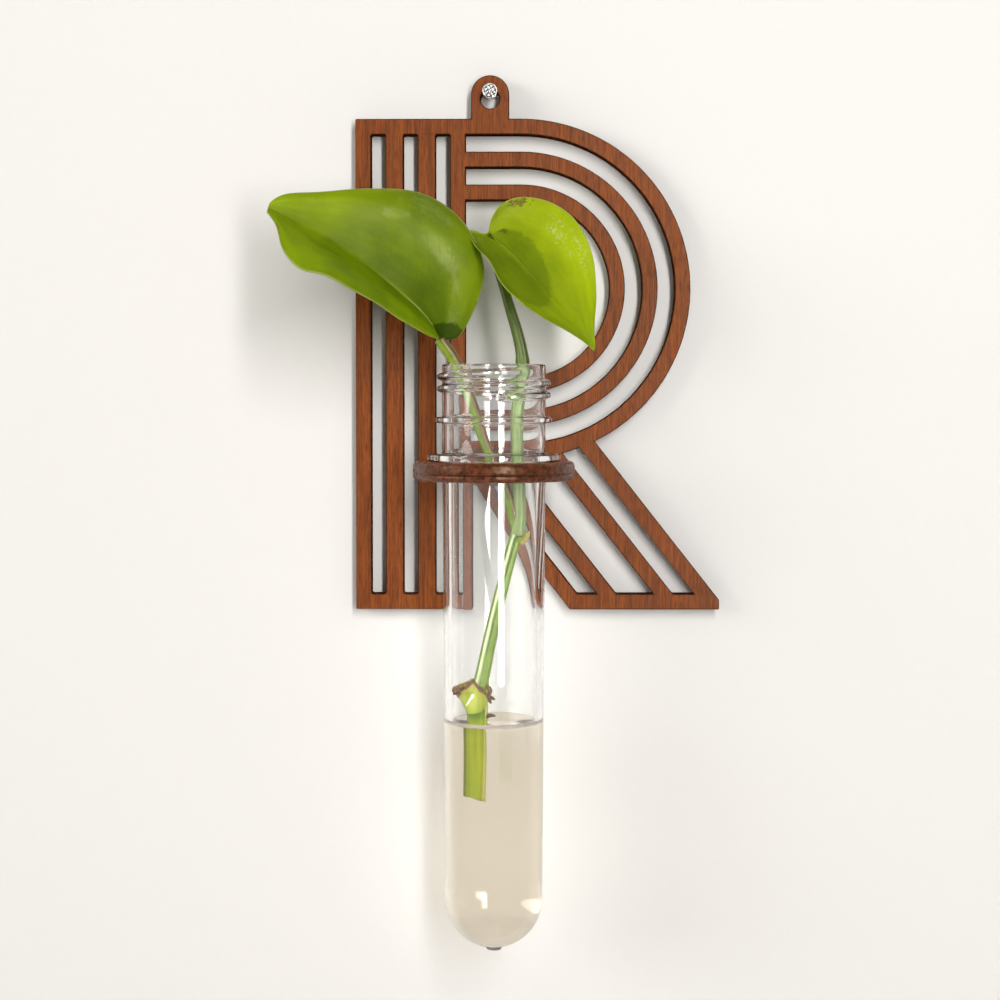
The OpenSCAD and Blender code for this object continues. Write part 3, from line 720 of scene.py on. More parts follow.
def leaf_finish(name, pale, shade, glow, rib_end, bright, painted_shade, painted_shade_edge, near_gain, spots,
                spot_colour, wax_and_glint_places, painted_glint_strength, fold=None):
    """A waxy blade with a fading midrib, faint veins, a thin pale margin and some light
    through it. A place on it is (along, across) and its two sizes, in shares of the blade:
    bright is its brighter part, dull a painted shade, spots are dry marks, wax_and_glint_places are
    waxier places with painted pale glints and fold is the painted shade of the fold by the
    stalk. painted_shade_edge says where the painted shade begins and is full, in shares of its
    size.
    near_gain is how much paler the near half is. shine is the strength of the painted glints,
    and strong ones are flecked."""
    f = Finish(name)
    along, across, _ = f.marks()
    side = f.math("ABSOLUTE", across)
    sheet = f.vector(f.times(along, 50.0), f.times(across, 18.0), 0.0)
    wander = f.noise(f.place, 0.11)
    rough = f.noise(f.place, 0.9, 3.0, 0.6)
    cells = f.noise(f.place, 2.6, 3.0, 0.65)

    def away(place, ragged=0.0):
        """How far it is from a place, 1 at the edge of its size, which may be ragged."""
        a, b = (
            f.math("POWER", f.math("DIVIDE", f.minus(here, centre), size), 2.0)
            for here, centre, size in zip((along, across), place, place[2:])
        )
        distance = f.math("SQRT", f.plus(a, b))
        return f.sway(distance, rough, ragged) if ragged else distance

    # Veins: faint lines that leave the midrib for the tip, bending with the margin
    bend = f.times(f.math("POWER", side, 1.3), 0.42)
    run = f.math("MULTIPLY_ADD", wander, 0.035, f.minus(along, bend))
    lines, fine = (f.math("PINGPONG", f.times(run, count), 0.5) for count in (17.0, 68.0))
    vein = f.times(f.step(lines, 0.1, 0.0), f.step(side, 0.98, 0.6))
    streaks = f.noise(sheet, (0.1, 0.24, 1.0), 4.0, 0.6)
    tone = f.plus(f.times(streaks, 0.5), f.times(f.noise(f.place, 0.1, 3.0), 0.5))
    tone = f.times(f.scale(tone, 0.4, 0.6, 0.15, 0.85), 0.6)
    lift = f.times(f.step(away(bright), 1.0, 0.0), 0.62)
    blade = f.blend(f.math("ADD", tone, lift, clamp=True), shade, pale)
    blade = f.over(blade, pale, vein, 0.05)
    blade = f.over(blade, f.toned(blade, (1.5, 1.35, 2.0)), f.step(cells, 0.5, 0.7), 0.16)
    blade = f.blend(f.step(across, -0.02, -0.16), blade, f.toned(blade, (near_gain,) * 3))
    # Painted shade: a darker part of the blade, on the young leaf the painted shadow of the grown
    # leaf
    dark = f.step(away(painted_shade, 0.2), *painted_shade_edge)
    blade = f.over(blade, f.toned(blade, (0.4, 0.52, 0.5)), dark, 0.55)
    rib = f.times(f.step(side, 0.024, 0.008), f.step(along, rib_end, rib_end * 0.3))
    blade = f.over(blade, (0.5, 0.56, 0.08), rib, 0.7)
    # Painted glints: pale flecks and sheen where the wax lies, which is also less rough
    wax_and_painted_glint = f.most(*(f.step(away(place, 1.6), 1.0, 0.35) for place in wax_and_glint_places))
    painted_glint = f.times(wax_and_painted_glint, f.step(f.noise(sheet, (0.3, 0.5, 1.0), 3.0, 0.6), 0.3, 0.72))
    if painted_glint_strength > 0.5:
        painted_glint = f.times(painted_glint, f.step(f.noise(f.place, 1.7, 3.0, 0.6), 0.46, 0.6))
    blade = f.over(blade, (0.62, 0.66, 0.24), painted_glint, painted_glint_strength)
    # Painted shade: the dark fold of the blade by the stalk
    if fold:
        blade = f.over(blade, (0.03, 0.075, 0.002), f.step(away(fold, 0.2), 1.0, 0.93), 0.85)
    blade = f.over(blade, (0.55, 0.56, 0.2), f.step(side, 0.978, 0.994), 0.6)
    dry = f.most(*(f.step(away(place, 2.4), 0.9, 0.6) for place in spots))
    dry_colour = f.ramp(cells, 0.4, 0.6, tuple(c * 0.3 for c in spot_colour), spot_colour)
    blade = f.over(blade, dry_colour, f.times(dry, f.step(cells, 0.42, 0.5)), 0.85)
    height = f.plus(f.plus(f.times(vein, 0.3), f.times(cells, 0.5)), f.times(fine, 0.1))
    bumped = f.bump(height, 0.4, 0.00018)
    f.set(
        Base_Color=blade,
        Roughness=f.math("MULTIPLY_ADD", wax_and_painted_glint, -0.12, f.scale(wander, 0.35, 0.65, 0.38, 0.52)),
        Specular_IOR_Level=0.24,
        Specular_Tint=(1.0, 1.0, 0.6, 1.0),
        Normal=bumped,
    )
    back = f.toned(blade, (1.5, 1.65, 0.8))
    f.show(glow, f.shader, f.node("ShaderNodeBsdfTranslucent", Normal=bumped, Color=back))
    return f.material


# ---------------------------------------------------------------- pieces


class PLANTER_OT_plywood(bpy.types.Operator):
    """Round the cut edges of the letter and the ring, and stain them"""

    bl_idname = "planter.plywood"
    bl_label = "Plywood letter and ring"

    def execute(self, context):
        settings = context.scene.planter_plywood
        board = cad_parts["letter_plate"]
        weld = board.modifiers.new("weld", "WELD")
        weld.merge_threshold = 1e-6
        plane = board.modifiers.new("plain faces", "DECIMATE")
        plane.decimate_type = "DISSOLVE"
        plane.angle_limit = math.radians(0.4)
        edge = board.modifiers.new("burnt edge", "BEVEL")
        edge.width = settings.edge_round
        edge.segments = 2
        edge.limit_method = "ANGLE"
        edge.angle_limit = math.radians(35)
        edge.harden_normals = True
        edge.use_clamp_overlap = False
        finish = plywood_finish("stained plywood, upright", settings, True)
        for slot in board.material_slots:
            slot.material = finish
        self.ring(settings)
        return {"FINISHED"}

    def ring(self, settings):
        """The ring: a washer with a worn, plied rim and a tongue that enters the letter."""
        rim = (RING_HIGH.x - RING_LOW.x) / 2
        face, back = -SHEET - TUBE_Y, -TUBE_Y
        side = [(TONGUE, math.sqrt(rim ** 2 - TONGUE ** 2)), (TONGUE, face), (TENON, face),
                (TENON, back)]
        corners = side + [(-x, y) for x, y in reversed(side)]
        first, last = (math.atan2(y, x) for x, y in (corners[0], corners[-1]))
        # The outline as (place, angle, 1 where it is the worn rim)
        outline = []
        count = 220
        for k in range(1, count):
            a = last + (first + 2 * math.pi - last) * k / count
            outline.append((Vector((rim * math.cos(a), rim * math.sin(a))), a, 1.0))
        outline += [(p, math.atan2(p.y, p.x), 0.0) for p in dense(corners, 1.6)]
        worn, crisp = settings.ring_round / MM, 0.12

        def loop(inward, height, wobble):
            """The outline drawn in by a share of its rounding, at a height."""
            points = []
            for place, a, on_rim in outline:
                out = place.normalized()
                dent = wobble * on_rim * (
                    math.sin(9 * a + height) + math.sin(23 * a - 2 * height) + math.sin(41 * a)
                ) / 3
                size = place.length - inward * (worn if on_rim else crisp) - abs(dent)
                points.append(
                    (TUBE_X + out.x * size, TUBE_Y + out.y * size, RING_LOW.z + height)
                )
            return points

        def hole(outward, height):
            """The bore at a height, opened outward a little."""
            r = RING_BORE + outward
            return [
                (TUBE_X + r * math.cos(a), TUBE_Y + r * math.sin(a), RING_LOW.z + height)
                for _, a, _ in outline
            ]

        bends = [share * math.pi / 2 for share in (0.0, 0.12, 0.3, 0.5, 0.7, 0.86, 1.0)]
        bends = [(1 - math.sin(turn), worn * (1 - math.cos(turn))) for turn in bends]
        loops = [loop(inward, height, 0.05) for inward, height in bends]
        for height in (1.2, 1.4, 1.55, 1.7, 1.85, 2.0, 2.3, 2.7, 3.1, 3.4):
            groove = 0.16 * hump(height - GLUE_LOW, 0.16) - 0.06 * hump(height - 2.7, 0.6)
            loops.append(loop(groove / worn, height, 0.1))
        loops += [loop(inward, SHEET - height, 0.05) for inward, height in reversed(bends)]
        chamfer = ((0.25, 0.0), (0.05, 0.06), (0.0, 0.25))
        loops += [hole(outward, SHEET - height) for outward, height in chamfer]
        loops += [hole(outward, height) for outward, height in reversed(chamfer)]
        n = len(outline)
        points = [p for ring in loops for p in ring]
        faces = []
        for r in range(len(loops)):
            faces += band(r * n, (r + 1) % len(loops) * n, n)
        make_piece(
            "ring", [(points, faces, [])], "hanger", "tube_ring",
            plywood_finish("stained plywood, lying", settings, False), sharp=42,
        )


class PLANTER_OT_nail(bpy.types.Operator):
    """Make the wall nail with its chequered head and its ribbed shank"""

    bl_idname = "planter.nail"
    bl_label = "Wall nail"

    def execute(self, context):
        settings = context.scene.planter_nail
        head, shank, front, tip = NAIL_HIGH.x, SHANK_RADIUS, NAIL_LOW.y, NAIL_HIGH.y
        pitch, depth = settings.check_pitch / MM, settings.check_depth / MM
        angles = turns(96)

        def groove(x, z):
            """How deep the chequered grooves are at a place on the head."""
            lines = [abs((c / pitch + 0.5) % 1 - 0.5) * 2 for c in (x + 0.5 * z, z - 0.5 * x)]
            cut = max(smooth(0.62, 0.95, line) for line in lines)
            return depth * cut * smooth(head - 0.12, head - 0.3, math.hypot(x, z))

        def circle(r, y):
            return [(r * math.cos(a), y, r * math.sin(a)) for a in angles]

        rings, steps = [], 34
        for k in range(1, steps + 1):
            flat = circle((head - 0.1) * k / steps, front)
            rings.append([(x, y + groove(x, z), z) for x, y, z in flat])
        under = front + HEAD_HEIGHT
        section = [(head - 0.03, front + 0.03), (head, front + 0.12), (head, under - 0.16),
                   (head - 0.06, under - 0.04), (head - 0.2, under), (shank + 0.25, under),
                   (shank + 0.08, under + 0.12), (shank, under + 0.3)]
        rib = under + 0.7
        while rib < under + RIBBED_LENGTH:
            section += [(shank, rib), (shank - 0.05, rib + 0.1), (shank - 0.05, rib + 0.25),
                        (shank, rib + 0.35)]
            rib += 0.6
        section += [(shank, tip - POINT_LENGTH)]
        rings += [circle(r, y) for r, y in section]
        # The point is ground to four flats
        for share in (0.25, 0.5, 0.75, 0.96):
            ring = []
            for a in angles:
                square = 1 / max(abs(math.cos(a)), abs(math.sin(a)))
                r = shank * (1 - share) * min(square, 1.25 - 0.1 * share)
                y = tip - POINT_LENGTH * (1 - share)
                ring.append((r * math.cos(a), y, r * math.sin(a)))
            rings.append(ring)
        skin = tube_skin(rings, (0, front, 0), (0, tip, 0))
        make_piece(
            "nail", [skin], "nail", "wall_nail", steel_finish(settings), sharp=38
        )
        return {"FINISHED"}


class PLANTER_OT_tube(bpy.types.Operator):
    """Mould the clear tube with its screw thread, bead, flange and round end"""

    bl_idname = "planter.tube"
    bl_label = "Clear tube"

    def execute(self, context):
        settings = context.scene.planter_tube
        pitch, height = settings.thread_pitch / MM, settings.thread_height / MM
        start, end = settings.thread_start, settings.thread_start + settings.thread_turn

        def thread(a, r, z):
            """How far the thread stands out from the neck at an angle and a height."""
            best = 0.0
            if r < NECK_RADIUS - 0.05 or not THREAD_LOW < z < THREAD_HIGH:
                return best
            for lap in range(-1, 3):
                angle = a + 2 * math.pi * lap
                fade = smooth(start, start + 0.6, angle) * (1 - smooth(end - 1.0, end, angle))
                away = abs(z - THREAD_Z - pitch * angle / (2 * math.pi))
                best = max(best, height * fade * smooth(1.12, 0.32, away))
            return best

        rest, foot, flange = REST_Z, END_Z - END_RADIUS, REST_Z + FLANGE_THICKNESS
        bead_low, bead_high = REST_Z + BEAD_LOW, REST_Z + BEAD_HIGH
        path = rounded([
            (0, foot - NUB_LENGTH, 0), (NUB_RADIUS, foot - NUB_LENGTH, 0.25),
            (NUB_RADIUS + 0.1, foot + 0.02, 0.1),
            (NUB_RADIUS + 0.5, END_Z - math.sqrt(END_RADIUS ** 2 - 1.7 ** 2), 0),
        ])
        path += arc(END_RADIUS, END_Z, -math.degrees(math.acos(2.2 / END_RADIUS)), 0, 40)
        path += dense([(END_RADIUS, END_Z + 1), (BODY_RADIUS, rest - 0.4)], 5.0)
        path += rounded([
            (BODY_RADIUS, rest - 0.4, 0), (BODY_RADIUS, rest, 0.25), (FLANGE_RADIUS, rest, 0.45),
            (FLANGE_RADIUS, flange, 0.55), (NECK_RADIUS, flange, 0.5),
            (NECK_RADIUS, bead_low, 0.35), (BEAD_RADIUS, bead_low, 0.45),
            (BEAD_RADIUS, bead_high, 0.45), (NECK_RADIUS, bead_high, 0.35),
            (NECK_RADIUS, THREAD_LOW, 0),
        ])[1:]
        path += dense([(NECK_RADIUS, THREAD_LOW), (NECK_RADIUS, THREAD_HIGH)], 0.13)[1:]
        path += rounded([
            (NECK_RADIUS, THREAD_HIGH, 0), (NECK_RADIUS, MOUTH_Z, 0.32),
            (NECK_BORE, MOUTH_Z, 0.5), (NECK_BORE, MOUTH_Z - 2, 0),
        ])[1:]
        bore = BODY_RADIUS - WALL
        path += dense([(NECK_BORE, MOUTH_Z - 2), (NECK_BORE, rest + 0.6)], 3.0)[1:]
        path += rounded([
            (NECK_BORE, rest + 0.6, 0), (NECK_BORE, rest, 0.5), (bore, rest - 0.8, 0.5),
            (bore, rest - 1.6, 0),
        ])[1:]
        path += dense([(bore, rest - 1.6), (END_BORE, END_Z)], 5.0)[1:]
        path += arc(END_BORE, END_Z, 0, -90, 44)[1:]
        make_piece(
            "clear_tube", [lathe(path, settings.sides, reach=thread)], "tube", "water_tube",
            clear_finish("clear moulded plastic", settings, 0.05, gate=foot),
        )
        return {"FINISHED"}


class PLANTER_OT_water(bpy.types.Operator):
    """Fill the tube with water that climbs a little at the wall and round the stem"""

    bl_idname = "planter.water"
    bl_label = "Water"

    def execute(self, context):
        settings = context.scene.planter_water
        rise, reach = settings.meniscus / MM, settings.reach / MM
        over = settings.overlap / MM
        stem, stem_radius, stem_rise = mouth_place(OLD_STEM[0]), 2.5, 0.55
        slope = (BODY_RADIUS - END_RADIUS) / (REST_Z - END_Z)

        def bore(z):
            return END_BORE + slope * (z - END_Z) + over

        top = bore(WATER_Z)

        def level(x, y, r, z):
            """How far the surface is raised at a place."""
            if z < WATER_Z - 0.01:
                return 0.0
            from_stem = math.hypot(x - stem.x, y - stem.y) - stem_radius
            climb = stem_rise * math.exp(-max(from_stem, 0.0) / reach)
            return rise * math.exp(-(top - r) / reach) + climb * smooth(0, 1.5, top - r)

        count, high = 10, WATER_Z - 0.6
        path = arc(END_BORE + over, END_Z, -90, 0, 44)
        for k in range(1, count + 1):
            z = END_Z + (high - END_Z) * k / count
            path.append(Vector((bore(z), z)))
        path += [Vector((top * (1 - (k / 36) ** 1.6), WATER_Z)) for k in range(37)]
        make_piece(
            "standing_water", [lathe(path, 128, lift=level)], "water_charge", "water",
            clear_finish("standing water", settings, 0.0, meniscus_shade_from=WATER_Z + MENISCUS_SHADE_HEIGHT),
            sharp=50,
        )
        return {"FINISHED"}


class PLANTER_OT_stems(bpy.types.Operator):
    """Grow the cutting's stems and leaf stalks"""

    bl_idname = "planter.stems"
    bl_label = "Stems and stalks"

    def execute(self, context):
        settings = context.scene.planter_cutting
        front = math.radians(90)

        def furrow(angle, width, depth, node_at=None):
            """A round section with a furrow along it, and a swelling where a leaf once grew."""
            def shape(a, t):
                away = abs((a - angle + math.pi) % (2 * math.pi) - math.pi)
                swell = 0.14 * hump(t - node_at, 0.012) if node_at else 0.0
                return 1 - depth * hump(away, width) + 0.035 * math.cos(5 * a + 3 * t) + swell
            return shape

        def sprout(name, shares, radius, radius_shares, shape, foot=0, extra=(), **finish):
            colour = getattr(settings, finish.pop("colour", name))
            shade = getattr(settings, finish.pop("shade", name + "_shade"))
            skin = stem_skin(
                [mouth_place(s) for s in shares], [radius * share for share in radius_shares],
                rings=110, shape=shape, foot=foot,
            )
            make_piece(
                name + "_piece", [skin, *extra], "cutting", name,
                stem_finish(name.replace("_", " "), colour, shade, settings.bark, **finish),
            )

        ridge = stem_skin(
            beside(mouth_place(UPPER_JOINT), ((0.6, -0.2, -1.6), (1.9, -0.6, -0.2),
                                              (2.5, -0.8, 1.1))),
            [1.0, 0.75, 0.18], rings=14, sides=16, dry=lambda t: 0.45,
        )
        sprout(
            "young_stem", (UPPER_JOINT, *YOUNG_STEM, LOWER_JOINT), 1.6,
            (1.25, 0.88, 0.92, 1.0, 1.1, 1.25), furrow(front + 0.35, 0.42, 0.2), extra=[ridge],
            colour="stem", shade="stem_shade", roughness=0.34, gloss=0.3,
            # Strips: a thin dark line, and a painted cream highlight on the viewer's left third
            strips=((0.245, 0.025, (0.05, 0.09, 0.012)), (0.165, 0.045, (0.66, 0.74, 0.45))),
        )
        sprout(
            "old_stem", (LOWER_JOINT, *OLD_STEM), 2.4, (0.8, 1, 0.96, 0.94),
            furrow(front - 0.7, 0.5, 0.06), foot=-math.tan(math.radians(20)),
            start=(8.2, (0.13, 0.22, 0.008)), gloss=0.05,
            # Strips: painted shade along the viewer's left edge and a painted cream highlight along
            # the right edge
            strips=((0.04, 0.06, (0.12, 0.17, 0.01)), (0.42, 0.05, (0.66, 0.62, 0.16))),
        )
        sprout(
            "left_stalk", (UPPER_JOINT, *LEFT_STALK), 1.35, (1, 0.95, 0.92, 0.9, 0.95, 1.1, 1.05),
            furrow(front + 0.5, 0.5, 0.18), start=(41.0, (0.16, 0.26, 0.015)),
            strips=((0.1, 0.2, (0.15, 0.06, 0.03)),),
        )
        sprout(
            "right_stalk", (UPPER_JOINT, *RIGHT_STALK), 1.5,
            (1.15, 1.05, 1, 1, 1, 0.8, 0.62, 0.25), furrow(front, 0.5, 0.16, 0.565),
            start=(39.0, (0.22, 0.3, 0.09)),
        )
        return {"FINISHED"}


class PLANTER_OT_joint(bpy.types.Operator):
    """Make the lower joint with the dry stubs of its old sheath, and the young roots"""

    bl_idname = "planter.joint"
    bl_label = "Lower joint and roots"

    def execute(self, context):
        settings = context.scene.planter_cutting
        centre, old_top = mouth_place(LOWER_JOINT), mouth_place(OLD_STEM[0])
        up = (mouth_place(YOUNG_STEM[2]) - centre).normalized()
        down = (old_top - centre).normalized()
        knuckle = stem_skin(
            [centre + up * 1.6, centre + up * 0.6, centre + down * 1.2, centre + down * 3.6],
            [0.9, 1.3, 1.75, 2.0, 2.1], rings=30, sides=36,
            shape=lambda a, t: 1 + 0.05 * math.cos(3 * a + 1) + 0.03 * math.cos(7 * a + 9 * t),
        )
        scroll = stem_skin(
            beside(centre, ((1.0, -0.6, 0.2), (1.9, -1.2, -0.3), (2.3, -1.5, -1.1),
                            (2.2, -1.6, -1.9), (1.7, -1.6, -2.5))),
            [0.4, 0.5, 0.5, 0.42, 0.2], rings=26, sides=20,
            shape=lambda a, t: 1 + 0.16 * math.sin(3 * a + 11 * t), dry=lambda t: 0.6,
        )
        ear_scroll = stem_skin(
            beside(centre, ((-5.5, -1.4, -1.9), (-5.4, -2.0, -1.0), (-4.6, -2.8, -0.2),
                            (-3.5, -3.5, 0.5), (-2.5, -3.7, 1.3), (-1.6, -3.8, 2.1))),
            [0.35, 0.8, 0.78, 0.5, 0.35, 0.18], rings=40, sides=20,
            shape=lambda a, t: 1 + 0.2 * math.sin(3 * a + 17 * t), dry=lambda t: 0.68 - 0.22 * t,
        )
        make_piece(
            "stem_joint_piece", [knuckle, scroll, ear_scroll, self.sheath(centre)], "cutting",
            "stem_joint",
            stem_finish("sheath", settings.sheath, settings.sheath_shade, settings.bark, 0.3),
        )
        # Short brown nubs that break out of the joint
        roots = []
        for base, start, end, radius in (
            (centre, (1.5, -1.3, -2.9), (2.6, -1.6, -4.1), 0.5),
            (centre, (1.2, 0.6, -3.0), (3.4, 1.4, -3.6), 0.55),
            (old_top, (1.4, -0.4, -2.3), (4.2, -1.1, -1.8), 0.55),
        ):
            start, end = beside(base, (start, end))
            middle = (start + end) / 2 + Vector((0, 0, 0.25))
            roots.append(stem_skin(
                [start, middle, end], [radius, radius * 0.95, radius * 0.8, radius * 0.35],
                rings=14, sides=16, shape=lambda a, t: 1 + 0.1 * math.sin(3 * a + 7 * t),
            ))
        make_piece(
            "young_roots_piece", roots, "cutting", "young_roots",
            stem_finish("dry root", (0.14, 0.07, 0.025), (0.05, 0.025, 0.01), settings.bark, 0.6),
        )
        return {"FINISHED"}

    def sheath(self, centre):
        """The cup of the old sheath: a shield-shaped lip in front, an ear at the left and a
        ragged dry rim that falls to both sides."""
        sides, axis = 96, centre + Vector((-1.65, -0.3, 0))
        # Rows from under the lip over the outside to the rim and down inside:
        # share of the height, radius of a level cup, share of the dryness
        rows = [(0.05, 2.5, 0), (0.0, 3.0, 0), (0.015, 3.25, 0), (0.05, 3.4, 0), (0.12, 3.5, 0)]
        rows += [(k / 14, 3.45 + 0.35 * math.sqrt(k / 14), 0) for k in range(3, 14)]
        rows += [(0.96, 3.8, 0.2), (0.99, 3.82, 0.6), (1.0, 3.72, 1), (0.985, 3.5, 0.9),
                 (0.93, 3.35, 0.5), (0.8, 3.2, 0.2), (0.6, 2.95, 0.1), (0.4, 2.6, 0), (0.3, 2.0, 0)]
        rings, marks = [], []
        for share, radius, inner in rows:
            ring = []
            for i, a in enumerate(turns(sides)):
                a -= math.pi
                right, away = math.sin(a), abs(a)
                # The rim's height falls away from its ridge, and its edge is torn
                x = 3.8 * right
                top = 2.1 - (0.25 - x) * 0.8 if x < 0.25 else 2.1 - (x - 0.25) * 1.15
                top -= 1.4 * smooth(1.5, 2.2, away)
                top += 0.16 * math.sin(9 * a + 1) + 0.1 * math.sin(23 * a)
                low = -6.35 + 1.1 * min(away, 1.5) ** 2.5
                low += 0.9 * smooth(-0.3, -1.0, a) * smooth(-1.9, -1.2, a)
                low -= 0.7 * smooth(1.6, 2.6, away)
                z = low + (top - low) * share
                # The left ear turns outward, with a step where the shield lies over it
                ear = hump(a + 1.35, 0.5)
                size = radius + 0.55 * ear * share ** 2
                line = -0.45 + 0.5 * min(max((z + 4.5) / 2.6, 0), 1)
                over = smooth(line + 0.05, line - 0.05, a) * smooth(-0.6, -2.2, z)
                size -= 0.75 * over * smooth(-1.7, -1.1, a) * (inner < 0.15)
                # Painted highlight: a cream line along the step, given as dryness below zero
                painted_crescent_highlight = hump(a - line, 0.07) * smooth(-4.9, -4.3, z) * smooth(-1.2, -2.0, z)
                size += 0.12 * math.sin(5 * a + 2) * share + 0.18 * inner * math.sin(13 * a)
                ring.append(axis + Vector((size * right, -size * math.cos(a), z)))
                rim = smooth(2.3 + 0.7 * ear, 0.4, top - z)
                marks.append((i / sides, 4 * share, max(0.85 * rim, 0.5 * inner) - painted_crescent_highlight))
            rings.append(ring)
        poles = beside(axis, ((0.9, 0, -4.5), (0.6, 0, -2.5)))
        return tube_skin(rings, *poles, marks + [(0.5, 0, 0)] * 2)


class PLANTER_OT_leaves(bpy.types.Operator):
    """Grow the two leaf blades"""

    bl_idname = "planter.leaves"
    bl_label = "Leaves"

    def execute(self, context):
        settings = context.scene.planter_cutting
        thickness = settings.leaf_thickness / MM
        # The grown leaf: dull is a broad painted shade near its midrib, fold a painted shade by the
        # stalk, and wax_and_glint_places a painted sheen
        grown = leaf_finish(
            "grown leaf", settings.leaf, settings.leaf_shade, 0.28, 0.6,
            bright=(0.84, 0.6, 0.36, 0.78), painted_shade=(0.28, 0.15, 0.36, 0.6), painted_shade_edge=(1.1, 0.1),
            near_gain=1.1, painted_glint_strength=0.27,
            spots=((0.87, -0.9, 0.03, 0.12), (1.0, 0.0, 0.02, 1.0)),
            spot_colour=(0.36, 0.26, 0.03),
            wax_and_glint_places=((0.5, 0.86, 0.1, 0.14), (0.38, 0.62, 0.1, 0.12), (0.25, 0.6, 0.09, 0.1),
                        (0.15, 0.55, 0.05, 0.2), (0.56, 0.65, 0.05, 0.12)),
            fold=(0.0, 0.5, 0.15, 0.85),
        )
        # The young leaf: dull is the painted shadow that the grown leaf casts on it, and
        # wax_and_glint_places painted glints
        young = leaf_finish(
            "young leaf", settings.young_leaf, settings.young_leaf_shade, 0.34, 0.62,
            bright=(0.6, 0.75, 0.5, 0.6), painted_shade=(0.27, -0.25, 0.36, 0.72), painted_shade_edge=(1.04, 0.95),
            near_gain=1.0, painted_glint_strength=0.9,
            spots=((0.3, 0.93, 0.075, 0.07), (0.22, 0.42, 0.045, 0.07), (1.0, 0.0, 0.02, 1.0)),
            spot_colour=(0.2, 0.1, 0.02),
            wax_and_glint_places=((0.52, 0.74, 0.13, 0.2), (0.62, 0.8, 0.1, 0.16)),
        )
        self.blade("left_leaf", "leaf_green", LEFT_STALK[-1], LEFT_BLADE, LEFT_TIP, thickness,
                   grown, camber=(0.1, 0.1), fold=0.04, curl=(0.5, 0.4, -1.0))
        self.blade("right_leaf", "young_leaf_green", RIGHT_STALK[-1], RIGHT_BLADE, RIGHT_TIP,
                   thickness * 0.85, young, camber=(0.1, 0.08), fold=0.06, curl=(0, 0, 0))
        return {"FINISHED"}

    def blade(self, node, slot, stalk_end, rows, tip, thickness, finish, camber, fold, curl):
        """A blade between its midrib and its margins. camber is how far its near and its far
        half bulge, fold is the sink along the midrib and curl is how its tip turns."""
        rib_line, far_line, near_line = (
            [Vector(), *(Vector(row[column]) for row in rows), Vector(tip)] for column in range(3)
        )
        start, length, half, step, seam = mouth_place(stalk_end), 108, 26, 0.006, 0.06
        # The bulge u * u * (1 - u) is highest at two thirds of the width
        full = 1 / ((2 / 3) ** 2 / 3)

        def sheet(t, s):
            """A point of the blade's middle surface, s from -1 near to 1 far."""
            rib = through(rib_line, t)
            rim = through(far_line if s > 0 else near_line, t)
            return rib + (rim - rib) * abs(s)

        def normal(t, s):
            along = sheet(min(t + step, 1.0), s) - sheet(max(t - step, 0.0), s)
            across = sheet(t, min(s + step, 1)) - sheet(t, max(s - step, -1))
            out = across.cross(along)
            return out.normalized() if out.length > 1e-9 else Vector((0, -1, 0))

        top, bottom, marks = [], [], []
        for k in range(length + 1):
            t = 0.006 + 0.988 * k / length
            widths = [
                (through(line, k / length) - through(rib_line, k / length)).length
                for line in (near_line, far_line)
            ]
            for j in range(-half, half + 1):
                s = j / half
                u, far = abs(s), s > 0
                # Normals are averaged across the fold, so that the halves meet
                out = normal(t, s) if u > seam else (normal(t, seam) + normal(t, -seam))
                out.normalize()
                width = widths[far]
                rise = camber[far] * width * full * u * u * (1 - u)
                wave = math.sin(2 * math.pi * (2.6 * t + (0.35 if far else 0.0)))
                rise += 0.016 * width * smooth(0.5, 1.0, u) * wave
                rise -= fold * hump(u * width, 1.3) * smooth(0.75, 0.15, t)
                place = start + sheet(t, s) + out * rise + Vector(curl) * smooth(0.95, 1.0, t) ** 2
                thick = thickness * (0.45 + 0.55 * (1 - u) ** 0.6) / 2
                keel = 0.75 * hump(u * width, 0.6) * smooth(1.0, 0.3, t)
                top.append(place + out * thick)
                bottom.append(place - out * (thick + keel))
                marks.append((t, s, 0.0))
        columns, size = 2 * half + 1, len(top)
        faces = []
        for k in range(length):
            for j in range(columns - 1):
                for a in (k * columns + j, size + k * columns + j):
                    faces.append((a, a + 1, a + columns + 1, a + columns))
        rim = (
            [k * columns for k in range(length + 1)]
            + [length * columns + j for j in range(1, columns)]
            + [k * columns + columns - 1 for k in range(length - 1, -1, -1)]
            + list(range(columns - 2, 0, -1))
        )
        faces += [(a, b, b + size, a + size) for a, b in zip(rim, rim[1:] + rim[:1])]
        skin = top + bottom, faces, marks * 2
        make_piece(node + "_blade", [skin], "cutting", node, finish)


# ---------------------------------------------------------------- stage


